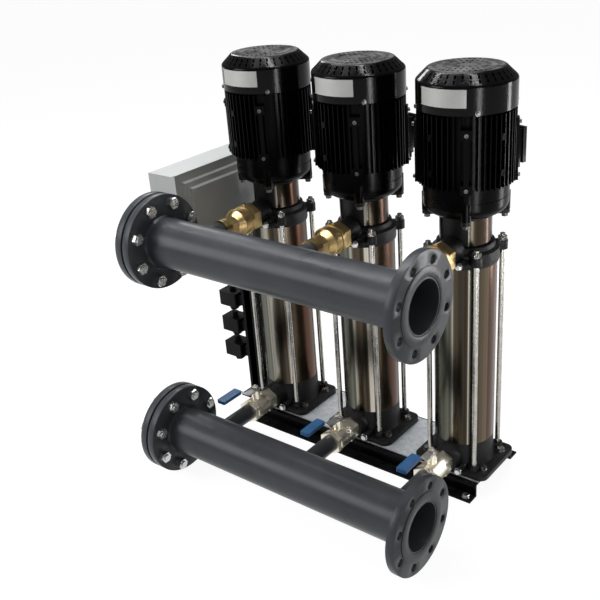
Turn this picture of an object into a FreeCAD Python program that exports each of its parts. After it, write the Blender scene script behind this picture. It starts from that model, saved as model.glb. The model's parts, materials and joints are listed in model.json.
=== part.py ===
"""Booster pump set: three vertical multistage pumps between a suction and a discharge manifold.

Frame: millimetres, +Z up, floor at Z = 0. The origin is the centre of the anchor bolt pattern.
+X runs along the manifolds to their open flanges, and +Y from the manifolds back to the pumps.
"""
import FreeCAD
import Part
import math
import os

V = FreeCAD.Vector

# Layout of the set
PUMP_NAMES = ("left", "middle", "right")
PUMP_PITCH = 270.0
SUCTION_DISTANCE = 370.0
SUCTION_PORT_RISE = 41.0
DISCHARGE_DISTANCE = 350.0
DISCHARGE_PORT_RISE = 37.5
SEAT_GAP = 0.3
RUNNING_GAP = 0.05

# Manifolds: pipe of 114.3 mm with flanges of nominal size 100, pressure class 16
PIPE_RADIUS = 57.15
PIPE_WALL = 3.6
MANIFOLD_LEFT = -335.0
MANIFOLD_RIGHT = 379.0
FLANGE_RADIUS = 110.0
FLANGE_THICKNESS = 20.0
RAISED_FACE_RADIUS = 79.0
RAISED_FACE_HEIGHT = 2.0
BOLT_CIRCLE_RADIUS = 90.0
FLANGE_BOLTS = 8
FLANGE_HOLE_RADIUS = 9.0
BLANK_HOLE_RADIUS = 9.5
FLANGE_BOLT_RADIUS = 8.0
FLANGE_BOLT_FLATS = 24.0
FLANGE_BOLT_HEAD = 10.0
FLANGE_NUT_HEIGHT = 13.0
FLANGE_BOLT_SPARE = 4.0
GASKET_THICKNESS = 2.0
WELD_SIZE = 5.0

# Branches of 42.4 mm pipe, welded on below the manifold axes
BRANCH_RADIUS = 21.2
BRANCH_WALL = 3.2
BRANCH_BOSS_RADIUS = 29.0
BRANCH_BOSS_REACH = 74.0
BRANCH_BOSS_TAPER = 5.0
SLIP_ON_GAP = 0.5
SUCTION_BRANCH_DROP = 36.0
DISCHARGE_BRANCH_DROP = 12.0
SOCKET_DEPTH = 15.0

# Base frame: one folded hat section with a galvanised deck plate on it
FRAME_LEFT = -353.0
FRAME_RIGHT = 353.0
FRAME_HALF_DEPTH = 92.0
FRAME_FLANGE_WIDTH = 29.0
FRAME_SHEET = 4.0
FRAME_BEND_RADIUS = 3.5
FRAME_HEIGHT = 35.0
DECK_THICKNESS = 3.0
DECK_HALF_DEPTH = 82.0
ANCHOR_X = 335.0
ANCHOR_Y = 107.0
ANCHOR_HOLE_RADIUS = 5.5

# Pump casing
SLEEVE_RADIUS = 70.2
SLEEVE_WALL = 3.0
SLEEVE_LENGTH = 449.5
SPIGOT_HEIGHT = 6.0
SPIGOT_WALL = 8.0
FOOT_HALF_WIDTH = 97.0
FOOT_HALF_DEPTH = 80.0
FOOT_THICKNESS = 12.0
FOOT_CORNER_RADIUS = 20.0
FOOT_BOLT_X = 77.0
FOOT_BOLT_Y = 45.0
FOOT_BOLT_RADIUS = 5.0
FOOT_BOLT_FLATS = 16.0
FOOT_BOLT_HEAD = 6.4
FOOT_WASHER_RADIUS = 10.0
FOOT_WASHER_THICKNESS = 2.0
FOOT_NUT_HEIGHT = 8.0
BOLT_HOLE_PLAY = 0.5
BASE_HEIGHT = 75.0
BASE_FLOOR = 14.0
BOWL_FLARE = 6.0
BOWL_FLARE_HEIGHT = 34.0
BEARING_WALL = 7.0
BEARING_LENGTH = 14.0
DRAIN_BOSS_RISE = 4.0
VENT_BOSS_RISE = 18.0
HEAD_OVERHANG = 4.0
LUG_RADIUS = 12.0
BASE_LUG_HEIGHT = 25.0
HEAD_HEIGHT = 45.5
HEAD_COLLAR_RADIUS = 66.0
HEAD_COLLAR_HEIGHT = 12.0
HEAD_LUG_HEIGHT = 20.0
ROD_CIRCLE_RADIUS = 84.3
ROD_RADIUS = 6.0
ROD_SPARE = 16.0
ROD_NUT_FLATS = 18.0
ROD_NUT_HEIGHT = 10.0
ROD_THREAD_PLAY = 0.05
PORT_RADIUS = 31.0
PORT_FACE_Y = -100.0
PORT_BORE_RADIUS = 21.0
PORT_BORE_DEPTH = 18.0
PASSAGE_RADIUS = 14.0
PASSAGE_LAP = 10.0
PLUG_BOSS_RADIUS = 10.0
PLUG_BOSS_X = 34.0
PLUG_BOSS_REACH = 88.0

# Motor stool and coupling
STOOL_RADIUS = 56.0
STOOL_WALL = 8.0
STOOL_HEIGHT = 70.0
STOOL_RING = 9.0
STOOL_TOP_RADIUS = 66.0
STOOL_EAR_RADIUS = 11.0
STOOL_LEG_ANGLE = 74.0
GUARD_SHEET = 1.2
GUARD_LAP_ANGLE = 3.0
COUPLING_RADIUS = 25.0
COUPLING_LENGTH = 48.0
COUPLING_SPLIT = 1.0
COUPLING_RISE = 8.0

# Motor, whose cowl radius sets the radii of its fins, housing and fan
MOTOR_LENGTH = 225.5
MOTOR_TURN = -16.0
COWL_RADIUS = 105.0
COWL_SHEET = 1.5
COWL_HEIGHT = 80.5
COWL_LAP = 8.0
COWL_SHOULDER_WIDTH = 25.0
COWL_SHOULDER_HEIGHT = 24.0
COWL_SHOULDER_BEND = 9.0
COWL_RIM_SLOTS = 36
COWL_RIM_ROWS = 2
COWL_TOP_RINGS = 3
COWL_TOP_SLOTS = 12
COWL_SLOT_WIDTH = 4.0
COWL_SLOT_LENGTH = 9.0
FIN_INSET = 1.0
FIN_DEPTH = 13.0
FIN_THICKNESS = 2.4
FINS_PER_QUARTER = 12
FIN_END_GAP = 4.0
FIN_LAP = 2.0
SHIELD_INSET = 12.5
SHIELD_HEIGHT = 38.0
SHIELD_ROUNDING = 24.0
SHIELD_GROOVE = 1.5
HOUSING_FOOT_HEIGHT = 30.0
SHIELD_BOSS_RADIUS = 11.5
SHIELD_BOSS_CIRCLE = 83.0
SHIELD_BOSS_HEIGHT = 40.0
MOTOR_RIB_WIDTH = 10.0
MOTOR_RIB_RISE = 4.0
MOTOR_LUG_WIDTH = 23.0
MOTOR_LUG_HEIGHT = 19.0
MOTOR_LUG_TOP_DROP = 28.0
MOTOR_PAD_RADIUS = 7.0
MOTOR_PAD_RISE = 1.0
MOTOR_PAD_DROPS = (50.0, 124.0)
MOTOR_WALL = 17.0
STATOR_RADIUS = 47.0
STATOR_LENGTH = 130.0
MOTOR_END_WALL = 12.0
TERMINAL_WIDTH = 90.0
TERMINAL_HEIGHT = 78.0
TERMINAL_STAND_OFF = 35.0
TERMINAL_LID = 14.0
TERMINAL_LID_LAP = 3.0
TERMINAL_STAND_INSET = 8.0
TERMINAL_BEVEL = 4.0
TERMINAL_TOP_DROP = 65.5
GLAND_RADIUS = 11.5
GLAND_LENGTH = 23.0
GLAND_INSET = 11.5

# Rotating group
PUMP_SHAFT_RADIUS = 9.0
IMPELLER_RADIUS = 52.0
IMPELLER_THICKNESS = 9.0
IMPELLER_HUB_RADIUS = 16.0
STAGES = 8
STAGE_INSET = 30.0
IMPELLER_HUB_LENGTH = 12.0
SHAFT_END_GAP = 2.0
FAN_SHAFT_LENGTH = 44.0
FAN_RISE = 14.0
MOTOR_SHAFT_RADIUS = 14.0
FAN_SHAFT_RADIUS = 12.0
AIR_GAP = 0.8
FAN_INSET = 19.0
FAN_HUB_RADIUS = 20.0
FAN_BLADES = 7
FAN_BLADE_HEIGHT = 26.0
FAN_SHEET = 3.0

# Suction ball valve
VALVE_CENTRE_Y = -152.0
VALVE_HALF_LENGTH = 36.0
VALVE_BODY_RADIUS = 29.0
VALVE_END_FLATS = 54.0
VALVE_END_LENGTH = 17.0
NIPPLE_FLATS = 50.0
BALL_RADIUS = 22.0
BALL_BORE_RADIUS = 15.0
STEM_RADIUS = 5.0
STEM_HEIGHT = 65.0
BONNET_RADIUS = 12.0
BONNET_HEIGHT = 51.0
LEVER_LENGTH = 128.0
LEVER_RISE = 26.0
LEVER_WIDTH = 20.0
LEVER_SHEET = 4.0
LEVER_HUB_LENGTH = 34.0
LEVER_NUT_FLATS = 14.0
LEVER_NUT_HEIGHT = 6.0
GRIP_WALL = 2.5
GRIP_INSET = 4.0
GRIP_ROUNDING = 3.5

# Discharge check valve
UNION_NUT_FLATS = 64.0
UNION_NUT_LENGTH = 24.0
CHECK_BODY_RADIUS = 33.0
CHECK_BODY_LENGTH = 48.0
CHECK_RIB_RADIUS = 35.0
CHECK_RIB_LENGTH = 8.0
CHECK_NECK_FLATS = 46.0
CHECK_NECK_LENGTH = 20.0
CHECK_TAIL_RADIUS = 25.0
CHECK_TAIL_LENGTH = 21.0
CHECK_BORE_RADIUS = 16.0

# Control panel on its stand
PANEL_RIGHT = -408.0
PANEL_DEPTH = 78.0
PANEL_FRONT = -205.0
PANEL_WIDTH = 300.0
PANEL_BOTTOM = 459.0
PANEL_HEIGHT = 250.0
PANEL_WALL = 3.0
PANEL_LIP = 12.0
PANEL_LIP_SHEET = 2.0
PANEL_RIM = 6.0
PANEL_RIM_THICKNESS = 8.0
PANEL_STEP_INSETS = (16.0, 34.0)
PANEL_STEP_HEIGHT = 6.0
PANEL_STEP_BEVEL = 4.0
GEAR_PLATE_INSET = 20.0
GEAR_PLATE_THICKNESS = 3.0
GEAR_RAIL_HEIGHT = 35.0
GEAR_RAIL_DEPTH = 8.0
GEAR_MODULE_WIDTH = 54.0
GEAR_MODULE_HEIGHT = 85.0
GEAR_MODULE_DEPTH = 37.0
GEAR_NOSE_INSET = 6.0
GEAR_NOSE_HEIGHT = 40.0
GEAR_NOSE_DEPTH = 13.0
DOOR_DEPTH = 38.0
DOOR_BEVEL = 16.0
DOOR_WALL = 2.5
DOOR_GAP = 0.5
HINGE_RADIUS = 6.0
HINGE_PIN_RADIUS = 2.5
HINGE_LENGTH = 30.0
HINGE_LEAF = 3.5
HINGE_INSET = 45.0
LOCK_RADIUS = 11.0
LOCK_SPINDLE_RADIUS = 7.0
LOCK_INSET = 32.0
LOCK_SHEET = 3.0
LOCK_PLAY = 1.0
LOCK_TONGUE_LENGTH = 24.0
LOCK_TONGUE_WIDTH = 12.0
POST_SIZE = 40.0
POST_WALL = 3.0
POST_LIP = 9.0
POST_CENTRE_X = -400.0
POST_CENTRE_Y = 5.0
POST_PLATE = 6.0
SWITCH_LENGTH = 62.0
SWITCH_BRACKET = 20.0
SWITCH_WIDTH = 50.0
SWITCH_HEIGHT = 42.0
SWITCH_PITCH = 80.0
SWITCH_TOP = 315.0
SWITCH_COUNT = 3
SWITCH_INLET_FLATS = 22.0
SWITCH_INLET_LENGTH = 16.0
SWITCH_GLAND_RADIUS = 9.0
SWITCH_GLAND_LENGTH = 12.0

# Places worked out from the sizes above
deck_top = FRAME_HEIGHT + DECK_THICKNESS
foot_top = deck_top + FOOT_THICKNESS
sleeve_bottom = deck_top + BASE_HEIGHT
sleeve_top = sleeve_bottom + SLEEVE_LENGTH
head_top = sleeve_top + HEAD_HEIGHT
lug_top = head_top - HEAD_COLLAR_HEIGHT
stool_top = head_top + STOOL_HEIGHT
motor_top = stool_top + MOTOR_LENGTH
cowl_top = motor_top + COWL_HEIGHT
suction_port_height = deck_top + SUCTION_PORT_RISE
suction_height = suction_port_height + SUCTION_BRANCH_DROP
discharge_port_height = sleeve_top + DISCHARGE_PORT_RISE
discharge_height = discharge_port_height + DISCHARGE_BRANCH_DROP
pump_places = [(name, (index - (len(PUMP_NAMES) - 1) / 2) * PUMP_PITCH)
               for index, name in enumerate(PUMP_NAMES)]
rod_offset = ROD_CIRCLE_RADIUS / math.sqrt(2)
chamber_radius = SLEEVE_RADIUS - SLEEVE_WALL - SPIGOT_WALL
coupling_split = head_top + COUPLING_RISE + COUPLING_LENGTH / 2
fin_radius = COWL_RADIUS - FIN_INSET
fin_root = fin_radius - FIN_DEPTH
shield_radius = COWL_RADIUS - SHIELD_INSET
cowl_top_radius = COWL_RADIUS - COWL_SHOULDER_WIDTH
fan_radius = COWL_RADIUS - FAN_INSET
motor_bore = fin_root - MOTOR_WALL
terminal_reach = COWL_RADIUS + TERMINAL_STAND_OFF
corner_signs = [(-1, -1), (1, -1), (1, 1), (-1, 1)]


def box(x0, x1, y0, y1, z0, z1):
    """Block between two opposite corners."""
    return Part.makeBox(x1 - x0, y1 - y0, z1 - z0, V(x0, y0, z0))


def upright(radius, z0, z1, x=0.0, y=0.0):
    """Cylinder along Z."""
    return Part.makeCylinder(radius, z1 - z0, V(x, y, z0), V(0, 0, 1))


def along_y(radius, y0, y1, x, z):
    """Cylinder along Y."""
    return Part.makeCylinder(radius, y1 - y0, V(x, y0, z), V(0, 1, 0))


def along_x(radius, x0, x1, y, z):
    """Cylinder along X."""
    return Part.makeCylinder(radius, x1 - x0, V(x0, y, z), V(1, 0, 0))


def ring(outer, inner, z0, z1):
    """Upright tube about the Z axis."""
    return upright(outer, z0, z1).cut(upright(inner, z0 - 1, z1 + 1))


def hexagon(flats, start, direction, length):
    """Hexagonal bar of a width across flats, from a start point along a direction."""
    corner = flats / math.sqrt(3)
    points = [V(corner * math.cos(math.radians(60 * k + 30)), corner * math.sin(math.radians(60 * k + 30)), 0)
              for k in range(6)]
    bar = Part.Face(Part.makePolygon(points + points[:1])).extrude(V(0, 0, length))
    turn = FreeCAD.Rotation(V(0, 0, 1), direction)
    bar.Placement = FreeCAD.Placement(start, turn)
    return bar


def profile(points):
    """Flat face through points in the XZ plane."""
    corners = [V(x, 0, z) for x, z in points]
    return Part.Face(Part.makePolygon(corners + corners[:1]))


def turned(points):
    """Solid turned about the Z axis from radius and height pairs."""
    return profile(points).revolve(V(0, 0, 0), V(0, 0, 1), 360)


def sector(angle_middle, angle_width, radius, z0, z1):
    """Wedge of a disc about the Z axis, used as a cutter."""
    half = math.radians(angle_width / 2)
    middle = math.radians(angle_middle)
    reach = radius / math.cos(half / 2)
    points = [V(0, 0, z0)]
    for share in (-1, 0, 1):
        angle = middle + share * half
        points.append(V(reach * math.cos(angle), reach * math.sin(angle), z0))
    return Part.Face(Part.makePolygon(points + points[:1])).extrude(V(0, 0, z1 - z0))


def rounded_plate(half_x, half_y, corner, z0, z1):
    """Rectangular plate with rounded upright corners."""
    plate = box(-half_x, half_x, -half_y, half_y, z0, z1)
    upright_edges = [edge for edge in plate.Edges if abs(edge.tangentAt(edge.FirstParameter).z) > 0.9]
    return plate.makeFillet(corner, upright_edges)


def fused(shapes):
    """One solid from touching shapes, with merged faces."""
    return shapes[0].multiFuse(shapes[1:]).removeSplitter()


def moved(shape, x=0.0, y=0.0, z=0.0):
    """Copy of a shape at another place."""
    copy = shape.copy()
    copy.translate(V(x, y, z))
    return copy


def base_frame():
    """Folded hat section, open at its ends, with anchor holes in its two outer flanges."""
    outer = FRAME_HALF_DEPTH
    inner = outer - FRAME_SHEET
    foot = outer + FRAME_FLANGE_WIDTH
    roof = FRAME_HEIGHT - FRAME_SHEET
    section = [(-foot, 0), (-inner, 0), (-inner, roof), (inner, roof), (inner, 0), (foot, 0),
               (foot, FRAME_SHEET), (outer, FRAME_SHEET), (outer, FRAME_HEIGHT),
               (-outer, FRAME_HEIGHT), (-outer, FRAME_SHEET), (-foot, FRAME_SHEET)]
    corners = [V(FRAME_LEFT, y, z) for y, z in section]
    frame = Part.Face(Part.makePolygon(corners + corners[:1])).extrude(V(FRAME_RIGHT - FRAME_LEFT, 0, 0))
    bends = [edge for edge in frame.Edges
             if abs(edge.CenterOfMass.z - FRAME_HEIGHT) < 0.1 and abs(edge.CenterOfMass.y) > inner + 1
             and edge.Length > FRAME_HEIGHT]
    frame = frame.makeFillet(FRAME_BEND_RADIUS, bends)
    holes = [upright(ANCHOR_HOLE_RADIUS, -1, FRAME_SHEET + 1, sx * ANCHOR_X, sy * ANCHOR_Y)
             for sx, sy in corner_signs]
    return frame.cut(Part.makeCompound(holes + foot_bolt_holes(0, FRAME_HEIGHT + 1)))


def foot_bolt_holes(z0, z1):
    """Clearance holes for the bolts that hold the three pump feet down."""
    return [upright(FOOT_BOLT_RADIUS + BOLT_HOLE_PLAY, z0, z1, x + sx * FOOT_BOLT_X, sy * FOOT_BOLT_Y)
            for _, x in pump_places for sx, sy in corner_signs]


def deck_plate():
    """Galvanised plate between the frame and the pump feet."""
    plate = box(FRAME_LEFT, FRAME_RIGHT, -DECK_HALF_DEPTH, DECK_HALF_DEPTH, FRAME_HEIGHT, deck_top)
    return plate.cut(Part.makeCompound(foot_bolt_holes(FRAME_HEIGHT - 1, deck_top + 1)))


def rod_lugs(z0, z1):
    """Four round lugs on the rod circle, each with a web back to the casing."""
    lugs = []
    for sx, sy in corner_signs:
        lug = upright(LUG_RADIUS, z0, z1, sx * rod_offset, sy * rod_offset)
        web = box(0, ROD_CIRCLE_RADIUS, -LUG_RADIUS, LUG_RADIUS, z0, z1)
        web.rotate(V(0, 0, 0), V(0, 0, 1), math.degrees(math.atan2(sy, sx)))
        lugs += [lug, web]
    return lugs


def rod_holes(radius, z0, z1):
    """Four cutters on the rod circle."""
    return [upright(radius, z0, z1, sx * rod_offset, sy * rod_offset) for sx, sy in corner_signs]


def pump_base():
    """Cast foot and suction chamber, with the suction port on the manifold side."""
    foot = rounded_plate(FOOT_HALF_WIDTH, FOOT_HALF_DEPTH, FOOT_CORNER_RADIUS, deck_top, foot_top)
    spigot = SLEEVE_RADIUS - SLEEVE_WALL - SEAT_GAP
    spigot_top = sleeve_bottom + SPIGOT_HEIGHT
    bowl = turned([(0, deck_top), (SLEEVE_RADIUS + BOWL_FLARE, deck_top),
                   (SLEEVE_RADIUS, deck_top + BOWL_FLARE_HEIGHT), (SLEEVE_RADIUS, sleeve_bottom),
                   (spigot, sleeve_bottom), (spigot, spigot_top), (0, spigot_top)])
    port = along_y(PORT_RADIUS, PORT_FACE_Y, 0, 0, suction_port_height)
    plug = along_y(PLUG_BOSS_RADIUS, -PLUG_BOSS_REACH, 0, PLUG_BOSS_X, foot_top + DRAIN_BOSS_RISE)
    body = fused([foot, bowl, port, plug] + rod_lugs(deck_top, deck_top + BASE_LUG_HEIGHT))
    floor = deck_top + BASE_FLOOR
    bearing_top = floor + BEARING_LENGTH
    chamber = upright(chamber_radius, floor, spigot_top + 1)
    bearing = upright(PUMP_SHAFT_RADIUS + BEARING_WALL, floor - 1, bearing_top)
    bearing_bore = upright(PUMP_SHAFT_RADIUS + RUNNING_GAP, floor, bearing_top + 1)
    bore_end = PORT_FACE_Y + PORT_BORE_DEPTH
    port_bore = along_y(PORT_BORE_RADIUS, PORT_FACE_Y - 1, bore_end, 0, suction_port_height)
    passage = along_y(PASSAGE_RADIUS, PORT_FACE_Y, PASSAGE_LAP - chamber_radius, 0, suction_port_height)
    hole = FOOT_BOLT_RADIUS + BOLT_HOLE_PLAY
    foot_holes = [upright(hole, deck_top - 1, foot_top + 8, sx * FOOT_BOLT_X, sy * FOOT_BOLT_Y)
                  for sx, sy in corner_signs]
    rods = rod_holes(ROD_RADIUS + ROD_THREAD_PLAY, deck_top + 4, deck_top + BASE_LUG_HEIGHT + 1)
    body = body.cut(Part.makeCompound([chamber, port_bore, passage] + foot_holes + rods))
    return fused([body, bearing]).cut(bearing_bore)


def outer_sleeve():
    """Stainless sleeve between base and head."""
    return ring(SLEEVE_RADIUS, SLEEVE_RADIUS - SLEEVE_WALL, sleeve_bottom, sleeve_top)


def pump_head():
    """Cast head with the discharge port on the manifold side and a seat for the motor stool."""
    spigot = SLEEVE_RADIUS - SLEEVE_WALL - SEAT_GAP
    spigot_low = sleeve_top - SPIGOT_HEIGHT
    rim = SLEEVE_RADIUS + HEAD_OVERHANG
    body = turned([(0, spigot_low), (spigot, spigot_low), (spigot, sleeve_top), (rim - 1, sleeve_top),
                   (rim, sleeve_top + 4), (rim, lug_top - 3), (HEAD_COLLAR_RADIUS, lug_top + 2),
                   (HEAD_COLLAR_RADIUS - 2, head_top), (0, head_top)])
    port = along_y(PORT_RADIUS, PORT_FACE_Y, -STOOL_RADIUS - 2, 0, discharge_port_height)
    half_neck = PORT_RADIUS - 4
    neck = box(-half_neck, half_neck, -STOOL_RADIUS - 20, -30, sleeve_top + 6, lug_top)
    plug = along_y(PLUG_BOSS_RADIUS, -PLUG_BOSS_REACH, 0, PLUG_BOSS_X, sleeve_top + VENT_BOSS_RISE)
    body = fused([body, port, neck, plug] + rod_lugs(lug_top - HEAD_LUG_HEIGHT, lug_top))
    chamber_top = lug_top + 2
    chamber = upright(chamber_radius, spigot_low - 1, chamber_top)
    shaft_bore = upright(PUMP_SHAFT_RADIUS + 2, chamber_top - 1, head_top + 1)
    bore_end = PORT_FACE_Y + PORT_BORE_DEPTH
    port_bore = along_y(PORT_BORE_RADIUS, PORT_FACE_Y - 1, bore_end, 0, discharge_port_height)
    passage_height = chamber_top - PASSAGE_RADIUS
    passage = along_y(PASSAGE_RADIUS, PORT_FACE_Y + 5, PASSAGE_LAP - chamber_radius, 0, passage_height)
    rods = rod_holes(ROD_RADIUS + BOLT_HOLE_PLAY, lug_top - HEAD_LUG_HEIGHT - 1, lug_top + 1)
    return body.cut(Part.makeCompound([chamber, shaft_bore, port_bore, passage] + rods))


def motor_stool():
    """Two-legged lantern between pump head and motor, with a window on each side."""
    bottom = ring(STOOL_RADIUS, STOOL_RADIUS - STOOL_WALL - 6, head_top, head_top + STOOL_RING)
    shell = ring(STOOL_RADIUS, STOOL_RADIUS - STOOL_WALL, head_top, stool_top)
    window_angle = 180 - STOOL_LEG_ANGLE
    windows = [sector(angle, window_angle, STOOL_RADIUS + 5, head_top + STOOL_RING, stool_top - STOOL_RING)
               for angle in (0, 180)]
    low = stool_top - STOOL_RING
    bore = STOOL_RADIUS - STOOL_WALL
    top = turned([(bore, low), (STOOL_RADIUS + 3, low), (STOOL_TOP_RADIUS, low + 3),
                  (STOOL_TOP_RADIUS, stool_top), (bore, stool_top)])
    ears = []
    for quarter in range(4):
        ear = upright(STOOL_EAR_RADIUS, low, stool_top, SHIELD_BOSS_CIRCLE, 0)
        web = box(STOOL_RADIUS, SHIELD_BOSS_CIRCLE, -STOOL_EAR_RADIUS, STOOL_EAR_RADIUS, low, stool_top)
        for piece in (ear, web):
            piece.rotate(V(0, 0, 0), V(0, 0, 1), 45 + MOTOR_TURN + 90 * quarter)
            ears.append(piece)
    return fused([shell.cut(Part.makeCompound(windows)), bottom, top] + ears)


def coupling_guards():
    """Pair of bent stainless sheets that cover the windows of one stool."""
    inner = STOOL_RADIUS + SEAT_GAP
    sheet = ring(inner + GUARD_SHEET, inner, head_top + 3, stool_top - STOOL_RING - 1)
    width = 180 - STOOL_LEG_ANGLE + 2 * GUARD_LAP_ANGLE
    return [sheet.common(sector(angle, width, STOOL_RADIUS + 5, head_top, stool_top)) for angle in (0, 180)]


def fin_ring(z0, z1):
    """Ring of cooling fins in four quarters, extruded from one outline."""
    step = 90.0 / (FINS_PER_QUARTER + 1)
    half = FIN_THICKNESS / 2
    outline = []
    for number in range(4 * (FINS_PER_QUARTER + 1)):
        turn = math.radians(45 + number * step)
        reach = fin_root + 1 if number % (FINS_PER_QUARTER + 1) == 0 else fin_radius
        for radius, side in ((fin_root, -half), (reach, -half), (reach, half), (fin_root, half)):
            outline.append(V(radius * math.cos(turn) - side * math.sin(turn),
                             radius * math.sin(turn) + side * math.cos(turn), z0))
    blank = Part.Face(Part.makePolygon(outline + outline[:1])).extrude(V(0, 0, z1 - z0))
    return blank.cut(upright(motor_bore + 5, z0 - 1, z1 + 1))


def motor_fittings(fin_low):
    """Ribs with a lug at each end, foot pads between them and bosses on the shield, four of each."""
    reach = fin_radius + MOTOR_RIB_RISE
    half_rib = MOTOR_RIB_WIDTH / 2
    half_lug = MOTOR_LUG_WIDTH / 2
    lug_top_z = motor_top - MOTOR_LUG_TOP_DROP
    pieces = []
    for quarter in range(4):
        rib = box(fin_root - 3, reach, -half_rib, half_rib, fin_low, lug_top_z)
        lugs = [box(fin_root - 3, reach, -half_lug, half_lug, low, low + MOTOR_LUG_HEIGHT)
                for low in (fin_low - 3, lug_top_z - MOTOR_LUG_HEIGHT)]
        boss = upright(SHIELD_BOSS_RADIUS, stool_top, stool_top + SHIELD_BOSS_HEIGHT, SHIELD_BOSS_CIRCLE, 0)
        for piece in [rib, boss] + lugs:
            piece.rotate(V(0, 0, 0), V(0, 0, 1), 45 + 90 * quarter)
            pieces.append(piece)
        for drop in MOTOR_PAD_DROPS:
            pad = along_x(MOTOR_PAD_RADIUS, fin_root - 3, fin_radius + MOTOR_PAD_RISE, 0, motor_top - drop)
            pad.rotate(V(0, 0, 0), V(0, 0, 1), 90 * quarter)
            pieces.append(pad)
    return pieces


def facing(shape):
    """Motor piece turned about the pump's axis to the way it is fitted."""
    shape.rotate(V(0, 0, 0), V(0, 0, 1), MOTOR_TURN)
    return shape


def motor_frame():
    """Finned motor housing with its rounded end shield, ribs and lugs, and the stator core inside."""
    split = stool_top + SHIELD_HEIGHT
    fin_low = split + HOUSING_FOOT_HEIGHT
    middle = (stool_top + motor_top) / 2
    core = STATOR_LENGTH / 2
    bottom_bore = MOTOR_SHAFT_RADIUS + RUNNING_GAP
    top_bore = FAN_SHAFT_RADIUS + RUNNING_GAP
    body_radius = fin_root - FIN_LAP
    cowl_seat = COWL_RADIUS - COWL_SHEET - SEAT_GAP
    seat_top = motor_top + COWL_LAP
    inner_top = motor_top - MOTOR_END_WALL
    inner_low = stool_top + MOTOR_END_WALL
    housing = turned([
        (bottom_bore, stool_top), (shield_radius, stool_top), (shield_radius, split),
        (shield_radius - SHIELD_GROOVE, split), (shield_radius - SHIELD_GROOVE, split + SHIELD_GROOVE),
        (shield_radius, split + SHIELD_GROOVE), (shield_radius, fin_low),
        (body_radius, fin_low + SHIELD_GROOVE), (body_radius, motor_top), (cowl_seat, motor_top),
        (cowl_seat, seat_top), (top_bore, seat_top), (top_bore, inner_top),
        (motor_bore, inner_top), (motor_bore, middle + core),
        (STATOR_RADIUS, middle + core), (STATOR_RADIUS, middle - core), (motor_bore, middle - core),
        (motor_bore, split), (motor_bore - SHIELD_ROUNDING, inner_low), (bottom_bore, inner_low)])
    bottom_rim = [edge for edge in housing.Edges if abs(edge.CenterOfMass.z - stool_top) < 0.01
                  and abs(edge.BoundBox.XMax - shield_radius) < 0.01]
    housing = housing.makeFillet(SHIELD_ROUNDING, bottom_rim)
    fins = fin_ring(fin_low, motor_top - FIN_END_GAP)
    return facing(fused([housing, fins] + motor_fittings(fin_low)))


def cowl_slots(shoulder):
    """Cutters for the air slots: rows round the sloping shoulder and rings on the top."""
    half = COWL_SLOT_WIDTH / 2
    slope = math.degrees(math.atan2(COWL_SHOULDER_HEIGHT, COWL_SHOULDER_WIDTH))
    run = math.hypot(COWL_SHOULDER_HEIGHT, COWL_SHOULDER_WIDTH)
    slots = []
    for row in range(COWL_RIM_ROWS):
        centre = run * (row + 1) / (COWL_RIM_ROWS + 1)
        for number in range(COWL_RIM_SLOTS):
            slot = box(-centre - COWL_SLOT_LENGTH / 2, -centre + COWL_SLOT_LENGTH / 2, -half, half, -6, 6)
            slot.rotate(V(0, 0, 0), V(0, 1, 0), slope)
            slot.translate(V(COWL_RADIUS, 0, shoulder))
            slot.rotate(V(0, 0, 0), V(0, 0, 1), 360.0 / COWL_RIM_SLOTS * number)
            slots.append(slot)
    pitch = (cowl_top_radius - COWL_SLOT_LENGTH) / (COWL_TOP_RINGS + 0.5)
    for circle in range(COWL_TOP_RINGS):
        inner = pitch * (circle + 1)
        count = COWL_TOP_SLOTS * (circle + 1)
        for number in range(count):
            slot = box(inner, inner + COWL_SLOT_LENGTH, -half, half, cowl_top - COWL_SHEET - 1, cowl_top + 1)
            slot.rotate(V(0, 0, 0), V(0, 0, 1), 360.0 / count * number)
            slots.append(slot)
    return slots


def shoulder_bends(shape, shoulder):
    """Round edges at both ends of the sloping shoulder."""
    return [edge for edge in shape.Edges if edge.CenterOfMass.z > shoulder - COWL_SHEET
            and edge.BoundBox.XMax > cowl_top_radius - COWL_SHEET and edge.BoundBox.ZLength < 1]


def fan_cowl():
    """Pressed cowl with a sloping shoulder between two bends, and a grille of slots."""
    top = cowl_top
    shoulder = top - COWL_SHOULDER_HEIGHT
    outer = turned([(0, motor_top), (COWL_RADIUS, motor_top), (COWL_RADIUS, shoulder),
                    (cowl_top_radius, top), (0, top)])
    outer = outer.makeFillet(COWL_SHOULDER_BEND, shoulder_bends(outer, shoulder))
    inner_top = top - COWL_SHEET
    inner = turned([(0, motor_top - 1), (COWL_RADIUS - COWL_SHEET, motor_top - 1),
                    (COWL_RADIUS - COWL_SHEET, shoulder - COWL_SHEET / 2),
                    (cowl_top_radius - COWL_SHEET / 2, inner_top), (0, inner_top)])
    inner = inner.makeFillet(COWL_SHOULDER_BEND - COWL_SHEET, shoulder_bends(inner, shoulder))
    return facing(outer.cut(inner).cut(Part.makeCompound(cowl_slots(shoulder))))


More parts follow.
